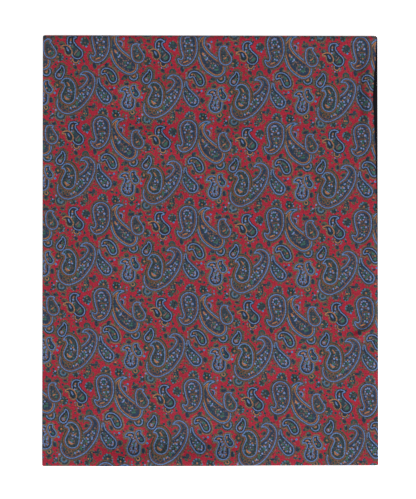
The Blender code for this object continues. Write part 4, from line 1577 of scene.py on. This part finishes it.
@dataclass
class SilkSheet(Sheet):
    """A stretch of the printed silk: its print is cut into the mesh, so that
    each area of ink has its own outline."""

    rows: tuple[float, ...]  # measures of rows that follow a fold
    tolerance: float = 0.36  # how coarse the print's outlines may be, in millimetres
    least: float = 2.0  # smallest area of ink that is drawn, in square millimetres
    relief_step: float = 0.012  # between the points inside
    margin: float = 1.0  # how far in from its edges the print is drawn
    past_crown: float = 0.012  # cloth past the near fold's crown that can be seen
    fold_rows: tuple[float, float, int] = (-0.008, 0.008, 41)  # close ones at a fold
    outline_step: float = 0.004
    guide_step: float = 0.006
    overhang: float = 0.001  # of the guide lines, past the outline
    inside: float = 4.0  # how far in the points inside begin, in millimetres
    edge_rows: tuple[float, ...] = (0.0002, 0.00042, 0.0008, 0.00125, 0.0017, 0.00199)
    longest: float = 0.13  # creases longer or wider than this need no close points
    widest: float = 0.005
    crease_steps: tuple[float, float] = (0.0018, 0.0009)  # along and across a crease

    def outline(self) -> np.ndarray:
        """Outline of the flat cloth.

        Returns:
            Its corners in order, in metres.
        """
        close = [turn + np.linspace(*self.fold_rows) for turn in (STACK.far_turn, STACK.near_turn)]
        along = rows_between(self.face.start, self.face.stop, self.outline_step, close)
        left, right = self.face.cloth_edges(along)
        return np.vstack([
            np.column_stack([right, along]), np.column_stack([left, along])[::-1]
        ])

    def guide_lines(self) -> list[np.ndarray]:
        """Lines that the mesh has to follow, at folds and beside edges.

        Returns:
            Each line's points, in metres.
        """
        start, stop = self.face.start, self.face.stop

        def across(left: float, right: float, row: float) -> np.ndarray:
            """A line from side to side, a little longer than the cloth is wide."""
            return np.array([[left - self.overhang, row], [right + self.overhang, row]])

        lines = []
        for row in self.rows:
            if start < row < stop:
                left, right = self.face.cloth_edges(np.array([row]))
                lines.append(across(left[0], right[0], row))
        along = np.linspace(start, stop, int((stop - start) / self.guide_step) + 1)
        left, right = self.face.cloth_edges(along)
        for reach in self.edge_rows:
            lines.append(np.column_stack([left + reach, along]))
            lines.append(np.column_stack([right - reach, along]))
            if self.face.seam_at_start:
                lines.append(across(left[0], right[0], start + reach))
            if self.face.seam_at_stop:
                lines.append(across(left[0], right[0], stop - reach))
        return lines

    def shown(self, outline: np.ndarray) -> bool:
        """Whether an area of ink can be seen and isn't too small.

        Args:
            outline: the area's outline, in millimetres.

        Returns:
            Whether it is to be drawn.
        """
        if self.least and ring_area(outline) < self.least:
            return False
        x, y = outline[:, 0] * MM, outline[:, 1] * MM
        if self.face.top and y.max() < STACK.near_turn - self.past_crown:
            return False
        near_side = np.abs(x).max() > STACK.width / 2 - self.margin
        near_end = y.min() < self.face.start + self.margin or y.max() > self.face.stop - self.margin
        return bool(near_side or near_end)

    def crease_points(self, low: np.ndarray, high: np.ndarray) -> np.ndarray:
        """Close points over the sharper creases of a top sheet.

        Args:
            low: least cloth X and Y, in millimetres.
            high: greatest cloth X and Y.

        Returns:
            The points, in millimetres.
        """
        made = [np.empty((0, 2))]
        for crease in RELIEF.creases if self.face.top else ():
            if crease.length > self.longest or min(crease.left, crease.right) > self.widest:
                continue
            heading = math.radians(crease.heading)
            step_along, step_across = self.crease_steps
            along, across = np.mgrid[
                -crease.length / 2 : crease.length / 2 : step_along,
                -2.0 * crease.right : 2.0 * crease.left : step_across,
            ].reshape(2, -1)
            made.append(np.column_stack([
                crease.x + along * math.cos(heading) - across * math.sin(heading),
                crease.y + along * math.sin(heading) + across * math.cos(heading),
            ]) / MM)
        close = np.vstack(made)
        edge = self.inside - 1
        return close[((close > low + edge) & (close < high - edge)).all(axis=1)]

    def triangles(self) -> tuple[np.ndarray, np.ndarray, np.ndarray]:
        """Cuts the flat cloth into triangles of one ink each.

        Returns:
            Flat places in metres, triangles, and each triangle's ink.
        """
        outline = self.outline()
        low, high = outline.min(axis=0) / MM, outline.max(axis=0) / MM
        areas = [a for a in PRINT.areas(low, high, self.tolerance) if self.shown(a[1])]
        faces, points, edges = [], [], []
        first = 0
        for ring in [outline / MM] + [ring for _, ring in areas]:
            faces.append(list(range(first, first + len(ring))))
            points.append(ring)
            first += len(ring)
        for line in self.guide_lines():
            edges += [(i, i + 1) for i in range(first, first + len(line) - 1)]
            points.append(line / MM)
            first += len(line)
        step = self.relief_step / MM
        (left, near), (right, far) = low + self.inside, high - self.inside
        points.append(np.mgrid[left:right:step, near:far:step].reshape(2, -1).T)
        points.append(self.crease_points(low, high))
        flat = np.vstack(points)
        made = delaunay_2d_cdt(flat.tolist(), edges, faces, 1, 1e-4, True)
        places, triangles, sources = np.array(made[0]), [], []
        for triangle, source in zip(made[2], made[5]):
            if 0 in source:
                triangles.append(triangle)
                sources.append(max(source))
        ink_of = np.array([INK_ORDER.index(ink) for ink in [CRIMSON] + [ink for ink, _ in areas]])
        triangles = np.array(triangles)
        used, inverse = np.unique(triangles, return_inverse=True)
        return places[used] * MM, inverse.reshape(-1, 3), ink_of[np.array(sources)]

    def build(self, material: bpy.types.Material) -> None:
        """Builds the sheet.

        Args:
            material: the printed silk.
        """
        flat, triangles, inks = self.triangles()
        mesh = self.mesh(self.face.points(*flat.T), triangles, flat)
        palette = np.array([
            (*linear(ink.value)[:3], DOTTED.get(ink, 0.0)) for ink in INK_ORDER
        ], np.float32)
        colours = mesh.color_attributes.new("print_ink", "FLOAT_COLOR", "CORNER")
        colours.data.foreach_set("color", np.repeat(palette[inks], 3, axis=0).ravel())
        mesh.normals_split_custom_set_from_vertices(self.face.normals(*flat.T).tolist())
        self.keep(mesh, material)


@dataclass
class WoolSheet(Sheet):
    """A stretch of the plain backing, as a grid that is fine where it turns."""

    step: float = 0.004
    fold_rows: int = 19
    edge_steps: tuple[float, ...] = (
        0.0, 0.0002, 0.00042, 0.0007, 0.0010, 0.0013, 0.0016, 0.00199, 0.003, 0.006, 0.012,
    )

    def rows(self) -> np.ndarray:
        """Measures of the grid's rows.

        Returns:
            The measures, rising.
        """
        start, stop, path = self.face.start, self.face.stop, self.face.path
        folds = (
            (STACK.far_turn, path.far_end), (path.near_end, STACK.near_turn),
            (path.inner_end, path.inner_start),
        )
        rows = [np.linspace(first, last, self.fold_rows) for first, last in folds]
        if self.face.seam_at_start:
            rows.append(start + np.array(self.edge_steps))
        if self.face.seam_at_stop:
            rows.append(stop - np.array(self.edge_steps))
        return rows_between(start, stop, self.step, rows)

    def build(self, material: bpy.types.Material) -> None:
        """Builds the sheet.

        Args:
            material: the wool.
        """
        rows = self.rows()
        left, right = self.face.cloth_edges(rows)
        steps = np.array(self.edge_steps)
        across = np.column_stack([left[:, None] + steps, right[:, None] - steps[::-1]])
        if self.face.top:
            lip = RolledLip(self.face)
            across = np.column_stack([across, right[:, None] + lip.shares * lip.cloth])
            points = lip.points(across, rows)
        else:
            points = self.face.points(across.ravel(), np.repeat(rows, across.shape[1]))
        wide, tall = across.shape[1], len(rows)
        index = np.arange(wide * tall).reshape(tall, wide)
        quads = np.stack(
            [index[:-1, :-1], index[1:, :-1], index[1:, 1:], index[:-1, 1:]], axis=-1
        ).reshape(-1, 4)
        flat = np.column_stack([across.ravel(), np.repeat(rows, wide)])
        self.keep(self.mesh(points, quads, flat), material)


@dataclass
class RolledLip:
    """The top backing with its edge rolled up beside the silk on the right."""

    face: PlyFace
    rise: float = 0.00036  # how far the roll swells above the line to the seam
    seam_height: float = 0.34  # where it ends, in halves of a ply
    wave: float = 0.04  # how unevenly it swells
    tucked: float = 0.0006  # how far its end slips under the silk
    cloth: float = 0.01
    shares: np.ndarray = field(default_factory=lambda: np.linspace(0, 1, 11)[1:])

    def points(self, across: np.ndarray, rows: np.ndarray) -> np.ndarray:
        """Places in space of the grid, with the roll in its last columns.

        Args:
            across: cloth X of the grid.
            rows: measures of its rows.

        Returns:
            The points, one a row.
        """
        flat = across[:, : -len(self.shares)]
        along = np.repeat(rows[:, None], flat.shape[1], axis=1)
        under = self.face.points(flat.ravel(), along.ravel()).reshape(*flat.shape, 3)
        places = self.face.path.places(rows)
        _, right = self.face.edges(rows)
        on_top = places.out_z > 0.5
        inset = np.where(on_top, RELIEF.inset(places.y), 0.0)
        rolled = smooth(inset / ROLL_START)[:, None]
        share = self.shares[None, :]
        under_silk = self.tucked * share**6
        reach = inset[:, None] * share + under_silk
        swell = np.sin(math.pi * share**0.62) ** 0.8  # fullest nearer the outer edge
        uneven = 1 + self.wave * (np.sin(places.y * 410) * np.sin(places.y * 97))[:, None]
        out = self.seam_height * STACK.half * rolled * smooth(share * 2.2)
        out = out + self.rise * rolled * swell * uneven - under_silk
        x = right[:, None] - reach
        y = places.y[:, None] + places.out_y[:, None] * out
        z = places.z[:, None] + places.out_z[:, None] * out
        roll = out_of_square(x.ravel(), y.ravel(), z.ravel()).reshape(*x.shape, 3)
        return np.concatenate([under, roll], axis=1).reshape(-1, 3)


@dataclass
class FoldedScarf:
    """The scarf: four plies of one lined strip, folded over each other."""

    silk: PrintedSilkTwill = field(default_factory=PrintedSilkTwill)
    wool: BrushedWool = field(default_factory=BrushedWool)
    tuck: float = STACK.tuck + 0.010  # with the cloth that the near fold takes up
    ply_a: tuple[float, float, float] = (0.0004, 0.0006, 0.0003)  # left, right, near
    ply_d: tuple[float, float, float] = (0.0009, 0.0004, 0.0006)
    wander: float = 0.00012

    def run(self, side: Side, which: str) -> PlyFace:
        """One face of one stretch of the strip.

        Args:
            side: which face.
            which: top, under or inner.

        Returns:
            The face, with its ends and edges.
        """
        path = FoldPath(side)
        half_way = STACK.far_turn + math.pi / 2 * path.far_radius
        tucked = path.near_end - self.tuck
        sewn = EDGE.length - STACK.half
        near = -STACK.length / 2
        if which == "top":
            return PlyFace(side, tucked, half_way, top=True)
        if which == "under":
            left, right, back = self.ply_a
            stop = path.end_of_a(near + back) + sewn
            return PlyFace(side, half_way, stop, left, right, self.wander, seam_at_stop=True)
        left, right, back = self.ply_d
        start = path.end_of_d(near + back) - sewn
        return PlyFace(side, start, tucked, left, right, self.wander, seam_at_start=True)

    def silk_sheets(self) -> list[SilkSheet]:
        """The silk's stretches: the top one in two halves, so that each mesh
        stays light, then the one below and the one inside.

        Returns:
            The sheets, the far half of the top first.
        """
        path = FoldPath(Side.SILK)
        rows = (
            *(path.far_radius * math.radians(a) + STACK.far_turn for a in range(0, 181, 12)),
            *(STACK.near_turn - reach for reach in np.arange(0, 0.0115, 0.0007)),
            *(STACK.near_turn - reach for reach in np.arange(0.0119, 0.022, 0.0025)),
            *np.linspace(path.inner_end, path.inner_start, 5),
        )
        top, under, inside = (self.run(Side.SILK, which) for which in ("top", "under", "inner"))
        fine = {"tolerance": 0.2, "least": 0.0, "relief_step": 0.004}
        on_top = ("printed_silk", "silk_top", ("lining_top",), rows)
        return [
            SilkSheet("printed_top_far", replace(top, start=0.0), *on_top, **fine),
            SilkSheet("printed_top_near", replace(top, stop=0.0), *on_top, **fine),
            SilkSheet("printed_under", under, "printed_silk_under", "silk_under", (), rows),
            SilkSheet("printed_inner", inside, "folded_layers", "hidden_layers",
                      ("lining_inner",), rows, margin=0.004),
        ]

    def wool_sheets(self) -> list[WoolSheet]:
        """The backing's three stretches.

        Returns:
            The sheets, the top one first.
        """
        return [
            WoolSheet(f"lining_{which}", self.run(Side.BACKING, which), slot, node, (below,))
            for which, slot, node, below in (
                ("top", "backing", "backing_top", "lining_inner"),
                ("under", "folded_layers", "hidden_layers", "printed_under"),
                ("inner", "folded_layers", "hidden_layers", "lining_under"),
            )
        ]

    def build(self) -> None:
        """Builds all the sheets."""
        silk, wool = self.silk.material(), self.wool.material()
        for sheet in self.silk_sheets():
            sheet.build(silk)
        for sheet in self.wool_sheets():
            sheet.build(wool)


# ------------------------------------------------------------------ the studio


@dataclass
class Studio:
    """A white floor, soft light from the near right, and the camera."""

    floor_size: float = 6.0
    floor_gap: float = 0.0002  # between the floor and the scarf
    sky: float = 0.40
    key_power: float = 277.0
    key_place: tuple[float, float, float] = (1.4, -3.7, 3.4)  # turned to the scarf
    key_size: float = 2.6
    camera_height: float = 2.4
    view_x: float = -0.0022
    view_y: float = 0.0010
    view_tall: float = 0.498  # what the picture's height takes in, at the top silk
    clip: tuple[float, float] = (0.05, 30.0)

    def build_floor(self) -> None:
        """Lays the floor."""
        half = self.floor_size / 2
        mesh = bpy.data.meshes.new("floor")
        corners = [(-half, -half), (half, -half), (half, half), (-half, half)]
        mesh.from_pydata([(x, y, -self.floor_gap) for x, y in corners], [], [(0, 1, 2, 3)])
        mesh.materials.append(OpalAcrylic().material())
        add_object("floor", mesh)

    def build_light(self) -> None:
        """Sets the even sky and the soft key light."""
        world = bpy.data.worlds.new("studio")
        world.use_nodes = True
        background = world.node_tree.nodes["Background"]
        background.inputs["Color"].default_value = (1.0, 1.0, 1.0, 1.0)
        background.inputs["Strength"].default_value = self.sky
        bpy.context.scene.world = world
        lamp = bpy.data.lights.new("key", "AREA")
        lamp.shape = "DISK"
        lamp.size = self.key_size
        lamp.energy = self.key_power
        key = add_object("key", lamp)
        key.location = self.key_place
        x, y, z = self.key_place
        key.rotation_euler = (math.atan2(math.hypot(x, y), z), 0.0, math.atan2(y, x) + math.pi / 2)

    def build_camera(self) -> None:
        """Sets the camera straight above, far off, framed as the picture."""
        distance = self.camera_height - STACK.height
        lens = bpy.data.cameras.new("camera")
        lens.sensor_fit = "VERTICAL"
        lens.sensor_height = 24.0
        lens.lens = lens.sensor_height * distance / self.view_tall
        lens.clip_start, lens.clip_end = self.clip
        camera = add_object("camera", lens)
        camera.location = (self.view_x, self.view_y, self.camera_height)
        bpy.context.scene.camera = camera
        bpy.context.scene.view_settings.view_transform = "Standard"

    def build(self) -> None:
        """Builds the floor, the light and the camera."""
        self.build_floor()
        self.build_light()
        self.build_camera()


def clear_startup() -> None:
    """Removes what a new file holds besides the frame."""
    for name in ("Cube", "Light", "Camera"):
        old = bpy.data.objects.get(name)
        if old and old.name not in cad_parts:
            bpy.data.objects.remove(old, do_unlink=True)


def main() -> None:
    """Builds the scarf and its studio."""
    logging.basicConfig(level=logging.INFO, format="%(message)s")
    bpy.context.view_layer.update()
    clear_startup()
    FoldedScarf().build()
    Studio().build()
    LOG.info("scarf built")


if __name__ == "__main__":
    main()
